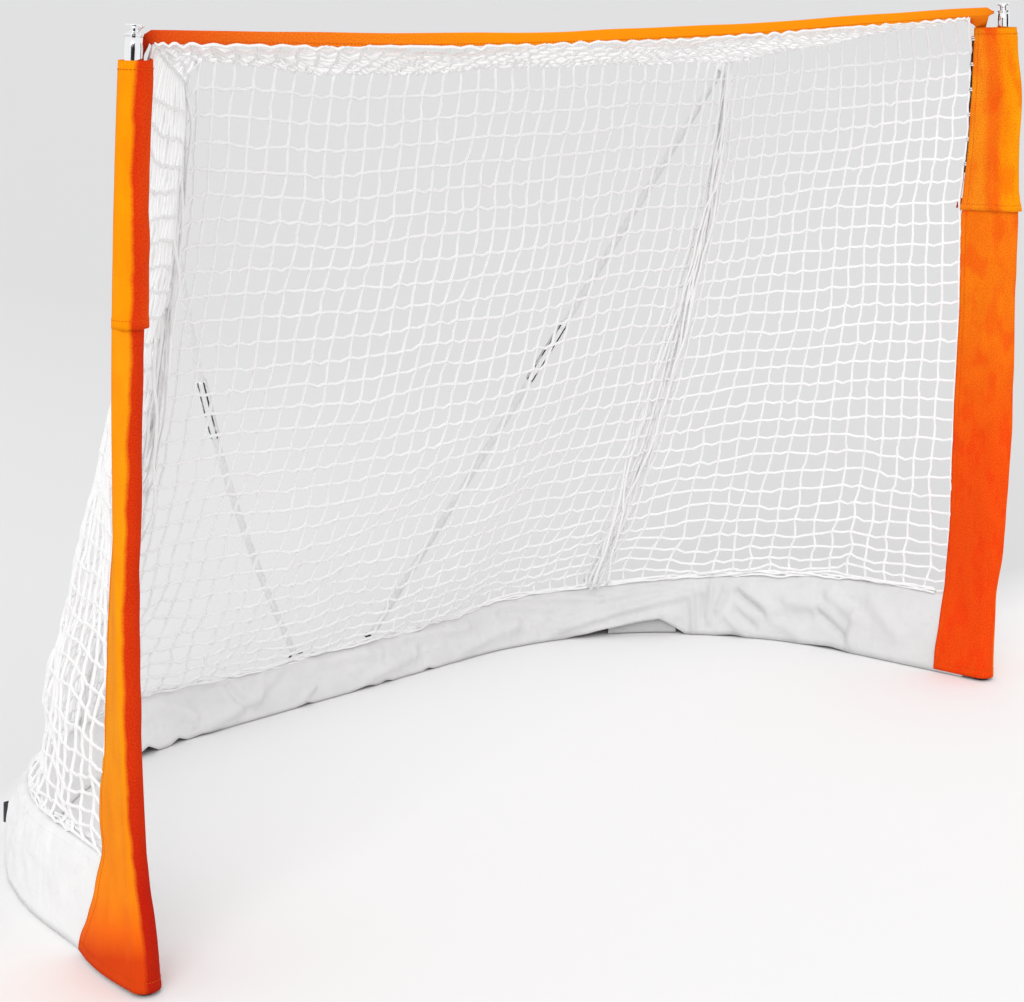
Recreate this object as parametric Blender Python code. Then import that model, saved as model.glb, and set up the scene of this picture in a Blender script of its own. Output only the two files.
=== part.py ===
"""A portable roller hockey goal: plug-together steel frame, two bowed poles, net, skirt and post sleeves.

Everything is modelled from the mouth: X runs along the goal line, Y into the goal and Z up from the
floor, with Y = 0 on the axes of the two uprights. An empty then moves the whole goal forward, so that the
world origin lies on the floor under the middle of its outer box. Sizes are in metres.
"""

import math

import bmesh
import bpy
from mathutils import Matrix, Vector

# Uprights
MOUTH_WIDTH = 1.88
POST_HEIGHT = 1.25
POST_LEAN = 0.047
POST_BOW = 0.022
POST_RADIUS = 0.011
POST_WALL = 0.0014
POST_JOINT_HEIGHT = 0.66
POST_SPIGOT_LENGTH = 0.045
FOOT_SPIGOT_LENGTH = 0.040
CAP_HEIGHT = 0.014
CAP_STEM_LENGTH = 0.015
CAP_NECK_RADIUS = 0.0062
CAP_FLARE_RADIUS = 0.0118

# Base frame
BASE_TOE_IN = math.radians(8.4)
BASE_LEG = 0.273
BASE_BEND_RADIUS = 0.59
BASE_TUBE_RADIUS = 0.0125
BASE_TUBE_WALL = 0.0015
BAR_JOINT_INSET = 0.055
BAR_SPIGOT_LENGTH = 0.050
BASE_FRONT_STUB = 0.0115

# Feet
FOOT_HEIGHT = 0.009
FOOT_RADIUS = 0.0145
HUB_PAD_HEIGHT = 0.0047

# Pole hub
HUB_LENGTH = 0.156
HUB_DEPTH = 0.055
HUB_OFFSET = 0.0105
HUB_TOP = 0.042
SOCKET_WALL = 0.0026
SOCKET_DEPTH = 0.042
SOCKET_DROP = 0.014
POLE_FOOT_SPREAD = 0.0784
POLE_FOOT_SETBACK = 0.0144
POLE_FOOT_HEIGHT = 0.070

# Poles, bowed from the hub to the net's rear top corners
POLE_RADIUS = 0.00635
POLE_TIP_SPREAD = 0.6072
POLE_TIP_DEPTH = 0.3743
POLE_TIP_DROP = 0.0886
POLE_BOW_OUT = 0.0402
POLE_BOW_BACK = 0.0311
FERRULE_LENGTH = 0.125
FERRULE_WALL = 0.0022
TIP_CAP_LENGTH = 0.024
TIP_CAP_WALL = 0.0026
TIP_CAP_GRIP = 0.014

# Snap buttons and the spring clips behind them
BUTTON_RADIUS = 0.0031
BUTTON_TRAVEL = 0.0035
BUTTON_FLANGE_RADIUS = 0.0044
BUTTON_FLANGE_HEIGHT = 0.0013
BUTTON_ROOT = 0.0036
SPRING_LENGTH = 0.028
SPRING_WIDTH = 0.005
SPRING_THICKNESS = 0.0006

# Sleeves and cuffs
FABRIC = 0.0016
FLAP_TOP_ANGLE = math.radians(42.6)
FLAP_TURN_START = 0.155
SLEEVE_HEM = 0.006
SLEEVE_UNDER_CUFF = 0.065
SLEEVE_FOOT_RADIUS = 0.0212
SLEEVE_RADIUS = 0.0168
SLEEVE_REACH_LOW = 0.091
SLEEVE_REACH_TOP = 0.067
SLEEVE_TAPER_START = 0.20
SLEEVE_FLARE = 0.078
SLEEVE_FLARE_HEIGHT = 0.40
SLEEVE_FLARE_CURVE = 1.8
CUFF_LENGTH = 0.3215
CUFF_HEM_RADIUS = 0.0222
CUFF_TOP_RADIUS = 0.0186
CUFF_HEM_REACH = 0.0745
CUFF_TOP_REACH = 0.0505
TAPE_WIDTH = 0.010
TAPE_THICKNESS = 0.002
TAPE_PROUD = 0.004

# Top band
BAND_DROP = 0.0065
BAND_TO_CUFF = 0.035
BAND_HEIGHT = 0.018
BAND_THICKNESS = 0.005
BAND_SETBACK = 0.008
BAND_TIP_LENGTH = 0.003
BAND_TAB_WIDTH = 0.009
BAND_TAB_REACH = 0.0375
BAND_TAB_DEPTH = 0.012

# Skirt
SKIRT_FRONT_SETBACK = 0.030
SKIRT_HEM = 0.003
SKIRT_SIDE_HEIGHT = 0.152
SKIRT_REAR_HEIGHT = 0.097
SKIRT_FRONT_SPREAD = 0.0168
SKIRT_REAR_SPREAD = 0.0235
SKIRT_RIDGE = 0.0028
SKIRT_FULLNESS = 1.7
SKIRT_FILL_AT_HUB = 0.8
SKIRT_SIDE_SWELL = 0.013
SKIRT_SWELL_START = 0.185
SKIRT_SWELL_END = 0.84
SKIRT_ROWS = (0, 0.16, 0.42, 0.72, 1)
SKIRT_TAB_PLACE = 0.58
SKIRT_TAB_HEIGHT = 0.031
SKIRT_TAB_BOTTOM = 0.030
SKIRT_TAB_PROUD = 0.009
SKIRT_TAB_WIDTH = 0.012

# Net
NET_CORD = 0.0045
NET_PITCH = 0.112
NET_SEAM_INSET = 0.0065
CREASE_PLACE = 0.82
CREASE_BELLY = 0.048
CORNER_INSET = Vector((-0.024, -0.018, -0.006))
RIDGE_SAG = 0.010
RIDGE_PULL = 0.020
ROOF_SAG = 0.018
BACK_BELLY = 0.03
SIDE_BELLY = 0.012
POCKET_LENGTH = 0.034
POCKET_WALL = 0.002
GROMMET_HEIGHT = 0.004
GROMMET_WALL = 0.0028

# Clearances
GAP = 0.0004
SLIDE_CLEARANCE = 0.0006
POLE_CLEARANCE = 0.0006
SLEEVE_EASE = 0.0010
HOLE_CLEARANCE = 0.0005
GROMMET_CLEARANCE = 0.0010
BUTTON_PROUD = BUTTON_TRAVEL

# How finely round things are faceted
POST_SIDES = 16
TUBE_SIDES = 12
TURNED_SIDES = 16

BASE_AXIS_HEIGHT = FOOT_HEIGHT + GAP + BASE_TUBE_RADIUS
BEND_LENGTH = BASE_BEND_RADIUS * (math.pi / 2 - BASE_TOE_IN)
LEG_END = Vector(
    (
        MOUTH_WIDTH / 2 - BASE_LEG * math.sin(BASE_TOE_IN),
        BASE_LEG * math.cos(BASE_TOE_IN),
        0,
    )
)
BEND_CENTRE = LEG_END - BASE_BEND_RADIUS * Vector((math.cos(BASE_TOE_IN), math.sin(BASE_TOE_IN), 0))
BASE_DEPTH = BEND_CENTRE.y + BASE_BEND_RADIUS
HALF_BASE_LENGTH = BASE_LEG + BEND_LENGTH + BEND_CENTRE.x
BAR_HALF_LENGTH = BEND_CENTRE.x - BAR_JOINT_INSET
POST_FOOT = BASE_AXIS_HEIGHT + BASE_TUBE_RADIUS + GAP
POST_TUBE_TOP = POST_HEIGHT - CAP_HEIGHT
POST_BORE = POST_RADIUS - POST_WALL
BASE_BORE = BASE_TUBE_RADIUS - BASE_TUBE_WALL
BAND_TOP = POST_HEIGHT - BAND_DROP
CUFF_TOP = BAND_TOP - BAND_TO_CUFF
CUFF_HEM = CUFF_TOP - CUFF_LENGTH
SLEEVE_TOP = CUFF_HEM + SLEEVE_UNDER_CUFF
POLE_TIP_HEIGHT = POST_HEIGHT - POLE_TIP_DROP
SKIRT_BULGE = HUB_OFFSET + HUB_DEPTH / 2 + 2 * FABRIC - SKIRT_FILL_AT_HUB * SKIRT_REAR_SPREAD
FRONT_OVERHANG = CUFF_HEM_RADIUS + FABRIC / 2
REAR_OVERHANG = SKIRT_REAR_SPREAD + SKIRT_BULGE + FABRIC / 2
MOUTH_Y = (FRONT_OVERHANG - BASE_DEPTH - REAR_OVERHANG) / 2


def clear_scene():
    for old in list(bpy.data.objects):
        bpy.data.objects.remove(old, do_unlink=True)


def make_material(name, colour, roughness, metallic=0.0):
    material = bpy.data.materials.new(name)
    material.use_nodes = True
    shader = material.node_tree.nodes["Principled BSDF"]
    shader.inputs["Base Color"].default_value = (*colour, 1.0)
    shader.inputs["Roughness"].default_value = roughness
    shader.inputs["Metallic"].default_value = metallic
    material.diffuse_color = (*colour, 1.0)
    return material


def make_empty(name, place, parent=None):
    empty = bpy.data.objects.new(name, None)
    empty.location = place
    empty.parent = parent
    bpy.context.collection.objects.link(empty)
    return empty


def make_object(name, mesh, material, parent, place=(0, 0, 0), sharp=35):
    """Adds a mesh, whose points are relative to place, under the empty at the mouth."""
    thing = bpy.data.objects.new(name, mesh)
    thing.location = place
    thing.parent = parent
    if material:
        mesh.materials.append(material)
    mesh.shade_smooth()
    mesh.set_sharp_from_angle(angle=math.radians(sharp))
    bpy.context.collection.objects.link(thing)
    return thing


def mesh_from(name, points, faces, origin=(0, 0, 0)):
    """A mesh of points given from the mouth and stored from origin, with its faces turned outwards."""
    origin = Vector(origin)
    mesh = bpy.data.meshes.new(name)
    mesh.from_pydata([Vector(point) - origin for point in points], [], faces)
    work = bmesh.new()
    work.from_mesh(mesh)
    bmesh.ops.recalc_face_normals(work, faces=work.faces)
    work.to_mesh(mesh)
    work.free()
    return mesh


def section_axes(path, index):
    """Two directions across a path at one of its points."""
    before = path[max(index - 1, 0)]
    after = path[min(index + 1, len(path) - 1)]
    along = (after - before).normalized()
    helper = Vector((0, 0, 1)) if abs(along.z) < 0.7 else Vector((0, 1, 0))
    first = (helper - along * helper.dot(along)).normalized()
    return first, along.cross(first)


def rings_along(path, radii, sides):
    rings = []
    for index, centre in enumerate(path):
        first, second = section_axes(path, index)
        ring = []
        for step in range(sides):
            angle = 2 * math.pi * step / sides
            ring.append(centre + radii[index] * (math.cos(angle) * first + math.sin(angle) * second))
        rings.append(ring)
    return rings


def tube_mesh(name, path, outer, inner, sides, origin=(0, 0, 0)):
    """A hollow tube with open ends. outer and inner hold one radius for each point of the path."""
    points = []
    loops = []
    for ring in rings_along(path, outer, sides) + rings_along(path, inner, sides)[::-1]:
        loops.append(list(range(len(points), len(points) + sides)))
        points.extend(ring)
    faces = []
    for index, loop in enumerate(loops):
        following = loops[(index + 1) % len(loops)]
        for step in range(sides):
            after = (step + 1) % sides
            faces.append((loop[step], loop[after], following[after], following[step]))
    return mesh_from(name, points, faces, origin)


def rod_mesh(name, path, radii, sides, origin=(0, 0, 0)):
    """A solid round bar along a path, closed by a face at each end."""
    points = []
    loops = []
    for ring in rings_along(path, radii, sides):
        loops.append(list(range(len(points), len(points) + sides)))
        points.extend(ring)
    faces = [tuple(loops[0]), tuple(loops[-1])]
    for loop, following in zip(loops, loops[1:]):
        for step in range(sides):
            after = (step + 1) % sides
            faces.append((loop[step], loop[after], following[after], following[step]))
    return mesh_from(name, points, faces, origin)


def turned_mesh(name, profile, base, axis, sides, origin=(0, 0, 0)):
    """A solid turned about a line through base along axis. The profile holds (height, radius) pairs."""
    axis = Vector(axis).normalized()
    path = [Vector(base) + axis * height for height, _ in profile]
    helper = Vector((0, 1, 0)) if abs(axis.y) < 0.7 else Vector((1, 0, 0))
    first = (helper - axis * helper.dot(axis)).normalized()
    second = axis.cross(first)
    points = []
    for centre, (_, radius) in zip(path, profile):
        for step in range(sides):
            angle = 2 * math.pi * step / sides
            points.append(centre + radius * (math.cos(angle) * first + math.sin(angle) * second))
    faces = [tuple(range(sides)), tuple(range(len(points) - sides, len(points)))]
    for row in range(len(profile) - 1):
        for step in range(sides):
            after = (step + 1) % sides
            low = row * sides
            high = low + sides
            faces.append((low + step, low + after, high + after, high + step))
    return mesh_from(name, points, faces, origin)


def box_mesh(name, centre, size, origin=(0, 0, 0), turn=None, bevel=0.0):
    """A box with optionally rounded edges, turned about its own centre."""
    work = bmesh.new()
    bmesh.ops.create_cube(work, size=1)
    bmesh.ops.scale(work, vec=Vector(size), verts=work.verts)
    if bevel:
        bmesh.ops.bevel(work, geom=work.edges, offset=bevel, segments=2, affect="EDGES")
    if turn:
        bmesh.ops.transform(work, matrix=turn, verts=work.verts)
    bmesh.ops.translate(work, vec=Vector(centre) - Vector(origin), verts=work.verts)
    bmesh.ops.recalc_face_normals(work, faces=work.faces)
    mesh = bpy.data.meshes.new(name)
    work.to_mesh(mesh)
    work.free()
    return mesh


def sheet_mesh(name, rows, origin=(0, 0, 0)):
    """An open sheet of quads through rows of points."""
    width = len(rows[0])
    points = [point for row in rows for point in row]
    faces = []
    for row in range(len(rows) - 1):
        for column in range(width - 1):
            corner = row * width + column
            faces.append((corner, corner + 1, corner + width + 1, corner + width))
    return mesh_from(name, points, faces, origin)


def thicken(thing, thickness):
    solid = thing.modifiers.new("cloth_thickness", "SOLIDIFY")
    solid.thickness = thickness
    solid.offset = 0
    solid.use_even_offset = True


def boolean(thing, tool, operation):
    """Adds a Boolean whose tool is left out of the finished part."""
    tool.hide_render = True
    tool.display_type = "WIRE"
    step = thing.modifiers.new(tool.name, "BOOLEAN")
    step.operation = operation
    step.object = tool
    step.solver = "EXACT"


def side_name(name, side):
    return f"{name}_{'left' if side < 0 else 'right'}"


# Lines that several pieces share


def post_point(side, height):
    """A point on an upright's axis. The net draws the tops in and bows the middles out."""
    share = height / POST_HEIGHT
    inward = POST_LEAN * share - 4 * POST_BOW * share * (1 - share)
    return Vector((side * (MOUTH_WIDTH / 2 - inward), 0, height))


def lift_axis(side):
    """The direction in which an upright leaves its spigot: its own axis at the foot."""
    top = post_point(side, POST_FOOT + FOOT_SPIGOT_LENGTH)
    return (top - post_point(side, POST_FOOT)).normalized()


def post_path(side, low, high, steps):
    return [post_point(side, low + (high - low) * step / steps) for step in range(steps + 1)]


def base_point(side, place, height=None):
    """A point of the base tube's axis, and its direction, at a distance from the upright along the tube."""
    if place <= BASE_LEG:
        point = Vector((MOUTH_WIDTH / 2, 0, 0)).lerp(LEG_END, place / BASE_LEG)
        heading = BASE_TOE_IN
    elif place <= BASE_LEG + BEND_LENGTH:
        heading = BASE_TOE_IN + (place - BASE_LEG) / BASE_BEND_RADIUS
        point = BEND_CENTRE + BASE_BEND_RADIUS * Vector((math.cos(heading), math.sin(heading), 0))
    else:
        heading = math.pi / 2
        point = Vector((HALF_BASE_LENGTH - place, BASE_DEPTH, 0))
    along = Vector((-side * math.sin(heading), math.cos(heading), 0))
    level = BASE_AXIS_HEIGHT if height is None else height
    return Vector((side * point.x, point.y, level)), along


def base_path(side):
    """The side tube's axis: out of the upright's foot, round the bend and up to the rear bar."""
    start, along = base_point(side, 0)
    path = [start - along * BASE_FRONT_STUB, start]
    bend_steps = 10
    for step in range(bend_steps + 1):
        path.append(base_point(side, BASE_LEG + BEND_LENGTH * step / bend_steps)[0])
    path.append(Vector((side * (BAR_HALF_LENGTH + GAP / 2), BASE_DEPTH, BASE_AXIS_HEIGHT)))
    return path


def pole_foot(side):
    return Vector((side * POLE_FOOT_SPREAD, BASE_DEPTH + POLE_FOOT_SETBACK, POLE_FOOT_HEIGHT))


def pole_tip(side):
    return Vector((side * POLE_TIP_SPREAD, POLE_TIP_DEPTH, POLE_TIP_HEIGHT))


def pole_point(side, share):
    bow = Vector((side * POLE_BOW_OUT, POLE_BOW_BACK, 0))
    return pole_foot(side).lerp(pole_tip(side), share) + 4 * share * (1 - share) * bow


def pole_direction(side, share):
    bow = Vector((side * POLE_BOW_OUT, POLE_BOW_BACK, 0))
    return (pole_tip(side) - pole_foot(side) + 4 * (1 - 2 * share) * bow).normalized()


def socket_mouth(side):
    """The upper end of a pole's socket, a little below the point where the pole starts to bow."""
    return pole_foot(side) - pole_direction(side, 0) * SOCKET_DROP


def pole_length():
    steps = 60
    points = [pole_point(1, step / steps) for step in range(steps + 1)]
    return sum((after - before).length for before, after in zip(points, points[1:]))


def skirt_rise(place):
    """0 beside the uprights, where the skirt is tall, and 1 along the rear, where the net's pull lowers it."""
    share = min(max((place - 0.4 * BASE_LEG) / (BASE_LEG + 0.62 * BEND_LENGTH), 0), 1)
    return share * share * (3 - 2 * share)


def skirt_height(place):
    return SKIRT_SIDE_HEIGHT + (SKIRT_REAR_HEIGHT - SKIRT_SIDE_HEIGHT) * skirt_rise(place)


def skirt_spread(place):
    share = min(place / (BASE_LEG * 1.1), 1)
    return SKIRT_FRONT_SPREAD + (SKIRT_REAR_SPREAD - SKIRT_FRONT_SPREAD) * share


def skirt_swell(place):
    """How far the outer wall stands off the tube along the bend, where the cloth is slack."""
    share = (place - SKIRT_SWELL_START) / (SKIRT_SWELL_END - SKIRT_SWELL_START)
    return SKIRT_SIDE_SWELL * math.sin(math.pi * min(max(share, 0), 1))


def skirt_half_width(place, height):
    """Half of the pocket's width at a height: wide round the tube, closing to the seam along the top."""
    share = (height - SKIRT_HEM) / (skirt_height(place) - SKIRT_HEM)
    share = min(max(share, 0), 1)
    return SKIRT_RIDGE + (skirt_spread(place) - SKIRT_RIDGE) * (1 - share**SKIRT_FULLNESS)


def flap_angle(height):
    share = (height - FLAP_TURN_START) / (CUFF_TOP - FLAP_TURN_START)
    return BASE_TOE_IN + (FLAP_TOP_ANGLE - BASE_TOE_IN) * max(share, 0) ** 1.1


def flap_axes(side, height):
    """Rearward along the sleeve's flap, and outward across it."""
    angle = flap_angle(height)
    rearward = Vector((-side * math.sin(angle), math.cos(angle), 0))
    outward = Vector((side * math.cos(angle), math.sin(angle), 0))
    return rearward, outward


def sleeve_reach(height):
    share = max(height - SLEEVE_TAPER_START, 0) / (SLEEVE_TOP - SLEEVE_TAPER_START)
    return SLEEVE_REACH_LOW + (SLEEVE_REACH_TOP - SLEEVE_REACH_LOW) * share**1.7


def sleeve_outer_reach(height):
    """The outer layer flares rearward over the skirt near the floor."""
    share = max(1 - height / SLEEVE_FLARE_HEIGHT, 0)
    return sleeve_reach(height) + SLEEVE_FLARE * share**SLEEVE_FLARE_CURVE


def sleeve_edge(height, reach):
    """Half of the gap that the two layers leave at a distance: round the skirt low down, then closed."""
    closed_edge = FABRIC / 2 + 3 * GAP
    if height > SKIRT_SIDE_HEIGHT + 2 * FABRIC:
        return closed_edge
    return max(skirt_half_width(reach, height) + FABRIC + SLEEVE_EASE, closed_edge)


def sleeve_drift(side, height):
    """How far the sleeve's rear edge moves sideways to stay over the skirt, which doesn't follow the bow."""
    follow = min(max(2 - height / SKIRT_SIDE_HEIGHT, 0), 1)
    return Vector((side * MOUTH_WIDTH / 2 - post_point(side, height).x, 0, 0)) * follow


def sleeve_radius(height):
    share = max(1 - height / SLEEVE_TAPER_START, 0)
    return SLEEVE_RADIUS + (SLEEVE_FOOT_RADIUS - SLEEVE_RADIUS) * share**1.5


def cuff_share(height):
    return (height - CUFF_HEM) / (CUFF_TOP - CUFF_HEM)


def cuff_radius(height):
    return CUFF_HEM_RADIUS + (CUFF_TOP_RADIUS - CUFF_HEM_RADIUS) * cuff_share(height) ** 0.5


def cuff_reach(height):
    return CUFF_HEM_REACH + (CUFF_TOP_REACH - CUFF_HEM_REACH) * cuff_share(height)


def wrap_row(side, height, radius, reaches, edges, drift):
    """One row of a sleeve: forward along its inner layer, round the upright and back along its outer layer.

    reaches and edges hold a value for the inner and one for the outer layer, and drift moves the rear edge.
    """
    centre = post_point(side, height)
    rearward, outward = flap_axes(side, height)
    flap_steps = 3
    front_steps = 6
    layers = []
    for reach, edge, facing in zip(reaches, edges, (-1, 1)):
        layer = []
        for step in range(1, flap_steps + 1):
            share = step / flap_steps
            half = radius + (edge - radius) * share**1.2
            layer.append(centre + (rearward * reach + drift) * share + outward * facing * half)
        layers.append(layer)
    front = []
    for step in range(front_steps + 1):
        angle = math.pi * step / front_steps
        front.append(centre - rearward * radius * math.sin(angle) - outward * radius * math.cos(angle))
    inner, outer = layers
    return inner[::-1] + front + outer


def net_front_point(side, height):
    """Where the side net is sewn: just behind the rear edge of the sleeve, or of the cuff above it."""
    reach = sleeve_reach(height)
    if height > CUFF_HEM - NET_PITCH / 2:
        reach = cuff_reach(max(height, CUFF_HEM)) + TAPE_PROUD
    rearward, _ = flap_axes(side, height)
    return post_point(side, height) + sleeve_drift(side, height) + rearward * (reach + NET_CORD)


def net_corner(side):
    """The net's rear top corner, held inside the pole's tip."""
    inset = Vector((side * CORNER_INSET.x, CORNER_INSET.y, CORNER_INSET.z))
    return pole_tip(side) + inset


def skirt_top_point(side, place):
    point, along = base_point(side, place, skirt_height(place) + FABRIC + NET_CORD)
    outward = Vector((along.y, -along.x, 0)) * side
    return point - outward * NET_SEAM_INSET


def crease_point(side, share):
    """The gathered corner of the net, hanging from the rear top corner to the skirt."""
    top = net_corner(side)
    bottom = skirt_top_point(side, CREASE_PLACE)
    sag = 4 * share * (1 - share) * CREASE_BELLY
    return top.lerp(bottom, share) - Vector((0, sag, 0))


def ridge_point(share):
    """The upper rear edge of the net, drawn forward and down a little between its corners."""
    point = net_corner(-1).lerp(net_corner(1), share)
    bow = 4 * share * (1 - share)
    return point - Vector((0, bow * RIDGE_PULL, bow * RIDGE_SAG))


def patch(top, bottom, left, right, across, down, belly):
    """Rows of points on a sheet that meets four edges and hangs by belly in its middle."""
    rows = []
    for j in range(down + 1):
        v = j / down
        row = []
        for i in range(across + 1):
            u = i / across
            ends = (1 - v) * ((1 - u) * top(0) + u * top(1)) + v * ((1 - u) * bottom(0) + u * bottom(1))
            point = (1 - v) * top(u) + v * bottom(u) + (1 - u) * left(v) + u * right(v) - ends
            row.append(point + belly * math.sin(math.pi * u) * math.sin(math.pi * v))
        rows.append(row)
    return rows


# Frame pieces


def base_spigot(side):
    """The stub on the side tube that carries an upright."""
    axis = lift_axis(side)
    seat = post_point(side, POST_FOOT)
    return seat - axis * BASE_TUBE_RADIUS, seat + axis * (FOOT_SPIGOT_LENGTH - GAP)


def add_base_side(side, parent, material):
    path = base_path(side)
    outer = [BASE_TUBE_RADIUS] * len(path)
    inner = [BASE_BORE] * len(path)
    name = side_name("base_side_tube", side)
    tube = make_object(name, tube_mesh(name, path, outer, inner, TUBE_SIDES), material, parent)
    low, high = base_spigot(side)
    radius = POST_BORE - SLIDE_CLEARANCE
    spigot = rod_mesh(name + "_spigot", [low, high], [radius, radius], POST_SIDES)
    boolean(tube, make_object(name + "_spigot", spigot, None, parent), "UNION")
    cut_button_hole(tube, base_button_place(side), Vector((0, 0, 1)), BASE_BORE, parent)
    return tube


def add_rear_bar(parent, material):
    shoulder = BAR_HALF_LENGTH - GAP
    tip = BAR_HALF_LENGTH + BAR_SPIGOT_LENGTH
    spigot = BASE_BORE - SLIDE_CLEARANCE
    bore = spigot - BASE_TUBE_WALL
    stations = [
        (-tip, spigot),
        (-shoulder - GAP / 2, spigot),
        (-shoulder, BASE_TUBE_RADIUS),
        (shoulder, BASE_TUBE_RADIUS),
        (shoulder + GAP / 2, spigot),
        (tip, spigot),
    ]
    path = [Vector((x, BASE_DEPTH, BASE_AXIS_HEIGHT)) for x, _ in stations]
    outer = [radius for _, radius in stations]
    mesh = tube_mesh("rear_bar", path, outer, [bore] * len(path), TUBE_SIDES)
    bar = make_object("rear_bar", mesh, material, parent)
    for side in (-1, 1):
        cut_button_hole(bar, base_button_place(side), Vector((0, 0, 1)), bore, parent)
    return bar


def base_button_place(side):
    return Vector((side * (BAR_HALF_LENGTH + BAR_SPIGOT_LENGTH / 2), BASE_DEPTH, BASE_AXIS_HEIGHT))


def post_button_place(side):
    return post_point(side, POST_JOINT_HEIGHT - POST_SPIGOT_LENGTH / 2)


def cut_button_hole(thing, place, axis, inside, parent):
    """A round hole through one wall of a tube, from inside its bore outwards."""
    radius = BUTTON_RADIUS + HOLE_CLEARANCE
    reach = BASE_TUBE_RADIUS + 2 * BUTTON_TRAVEL
    profile = [(inside * 0.6, radius), (reach, radius)]
    name = f"{thing.name}_hole_{len(thing.modifiers)}"
    cutter = turned_mesh(name, profile, place, axis, TURNED_SIDES)
    boolean(thing, make_object(name, cutter, None, parent), "DIFFERENCE")


def add_button(name, place, axis, tube_radius, parent, material):
    """A domed pin with a retaining flange inside the tube. Its origin is on the tube's axis."""
    top = tube_radius + BUTTON_PROUD
    profile = [
        (BUTTON_ROOT, BUTTON_FLANGE_RADIUS),
        (BUTTON_ROOT + BUTTON_FLANGE_HEIGHT, BUTTON_FLANGE_RADIUS),
        (BUTTON_ROOT + BUTTON_FLANGE_HEIGHT, BUTTON_RADIUS),
        (top - 0.45 * BUTTON_RADIUS, BUTTON_RADIUS),
        (top - 0.15 * BUTTON_RADIUS, 0.78 * BUTTON_RADIUS),
        (top, 0.35 * BUTTON_RADIUS),
    ]
    mesh = turned_mesh(name, profile, place, axis, TUBE_SIDES, origin=place)
    return make_object(name, mesh, material, parent, place)


def add_spring_clip(name, place, button_axis, tube_axis, bore, parent, material):
    """A bent strip: one leg along the bore's far wall, the other up to the underside of the button."""
    across = button_axis.cross(tube_axis).normalized()
    half_strip = SPRING_THICKNESS / 2
    flat_of_bore = bore * math.cos(math.pi / TUBE_SIDES)
    wall = math.sqrt(flat_of_bore**2 - (SPRING_WIDTH / 2) ** 2)
    far = -(wall - half_strip - GAP)
    near = BUTTON_ROOT - half_strip - GAP
    bend = -0.3 * bore
    line = [
        (BUTTON_FLANGE_RADIUS, near),
        (-BUTTON_FLANGE_RADIUS, near),
        (-0.85 * SPRING_LENGTH, bend + 2 * SPRING_THICKNESS),
        (-SPRING_LENGTH, bend),
        (-0.85 * SPRING_LENGTH, bend - 2 * SPRING_THICKNESS),
        (-BUTTON_FLANGE_RADIUS, far),
        (BUTTON_FLANGE_RADIUS, far),
    ]
    rows = []
    for edge in (-0.5, 0.5):
        offset = across * SPRING_WIDTH * edge
        rows.append([place + tube_axis * a + button_axis * r + offset for a, r in line])
    clip = make_object(name, sheet_mesh(name, rows, place), material, parent, place)
    thicken(clip, SPRING_THICKNESS)
    return clip


def add_upright(side, parent, chrome, steel):
    """Both sections of an upright, its cap, and the snap button and clip that lock the sections."""
    foot = post_point(side, 0)
    joint = POST_JOINT_HEIGHT
    bore = POST_BORE
    spigot = bore - SLIDE_CLEARANCE
    spigot_bore = spigot - POST_WALL

    low_path = [post_point(side, POST_FOOT)]
    low_path += post_path(side, POST_FOOT + FOOT_SPIGOT_LENGTH, joint - 1.5 * GAP, 5)
    name = side_name("upright_lower", side)
    count = len(low_path)
    mesh = tube_mesh(name, low_path, [POST_RADIUS] * count, [bore] * count, POST_SIDES, foot)
    lower = make_object(name, mesh, chrome, parent, foot)
    cut_button_hole(lower, post_button_place(side), Vector((0, 1, 0)), bore, parent)

    path = post_path(side, joint - POST_SPIGOT_LENGTH, joint - GAP / 2, 2)
    path += post_path(side, joint, POST_TUBE_TOP, 5)
    outer = [spigot] * 3 + [POST_RADIUS] * 6
    inner = [spigot_bore] * 3 + [bore] * 6
    name = side_name("upright_upper", side)
    upper = make_object(name, tube_mesh(name, path, outer, inner, POST_SIDES, foot), chrome, parent, foot)
    cut_button_hole(upper, post_button_place(side), Vector((0, 1, 0)), spigot_bore, parent)

    top = post_point(side, POST_TUBE_TOP)
    axis = (post_point(side, POST_HEIGHT) - top).normalized()
    stem = bore - 2 * GAP
    profile = [
        (-CAP_STEM_LENGTH, 0.9 * stem),
        (-0.9 * CAP_STEM_LENGTH, stem),
        (GAP, stem),
        (GAP, CAP_FLARE_RADIUS),
        (0.18 * CAP_HEIGHT, CAP_FLARE_RADIUS),
        (0.30 * CAP_HEIGHT, CAP_NECK_RADIUS),
        (0.48 * CAP_HEIGHT, CAP_NECK_RADIUS),
        (0.84 * CAP_HEIGHT, CAP_FLARE_RADIUS),
        (0.97 * CAP_HEIGHT, 0.96 * CAP_FLARE_RADIUS),
        (CAP_HEIGHT, 0.86 * CAP_FLARE_RADIUS),
    ]
    name = side_name("post_cap", side)
    cap = turned_mesh(name, profile, top, axis, TURNED_SIDES, foot)
    make_object(name, cap, chrome, parent, foot)

    place = post_button_place(side)
    rearward = Vector((0, 1, 0))
    up = (post_point(side, joint) - place).normalized()
    add_button(side_name("upright_button", side), place, rearward, POST_RADIUS, parent, steel)
    clip = side_name("upright_spring_clip", side)
    add_spring_clip(clip, place, rearward, up, spigot_bore, parent, steel)


def add_post_foot(side, parent, material):
    profile = [
        (0, 0.93 * FOOT_RADIUS),
        (0.15 * FOOT_HEIGHT, FOOT_RADIUS),
        (0.85 * FOOT_HEIGHT, FOOT_RADIUS),
        (FOOT_HEIGHT, 0.93 * FOOT_RADIUS),
    ]
    name = side_name("post_foot", side)
    foot = post_point(side, 0)
    mesh = turned_mesh(name, profile, foot, (0, 0, 1), TURNED_SIDES, foot)
    make_object(name, mesh, material, parent, foot)


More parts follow.
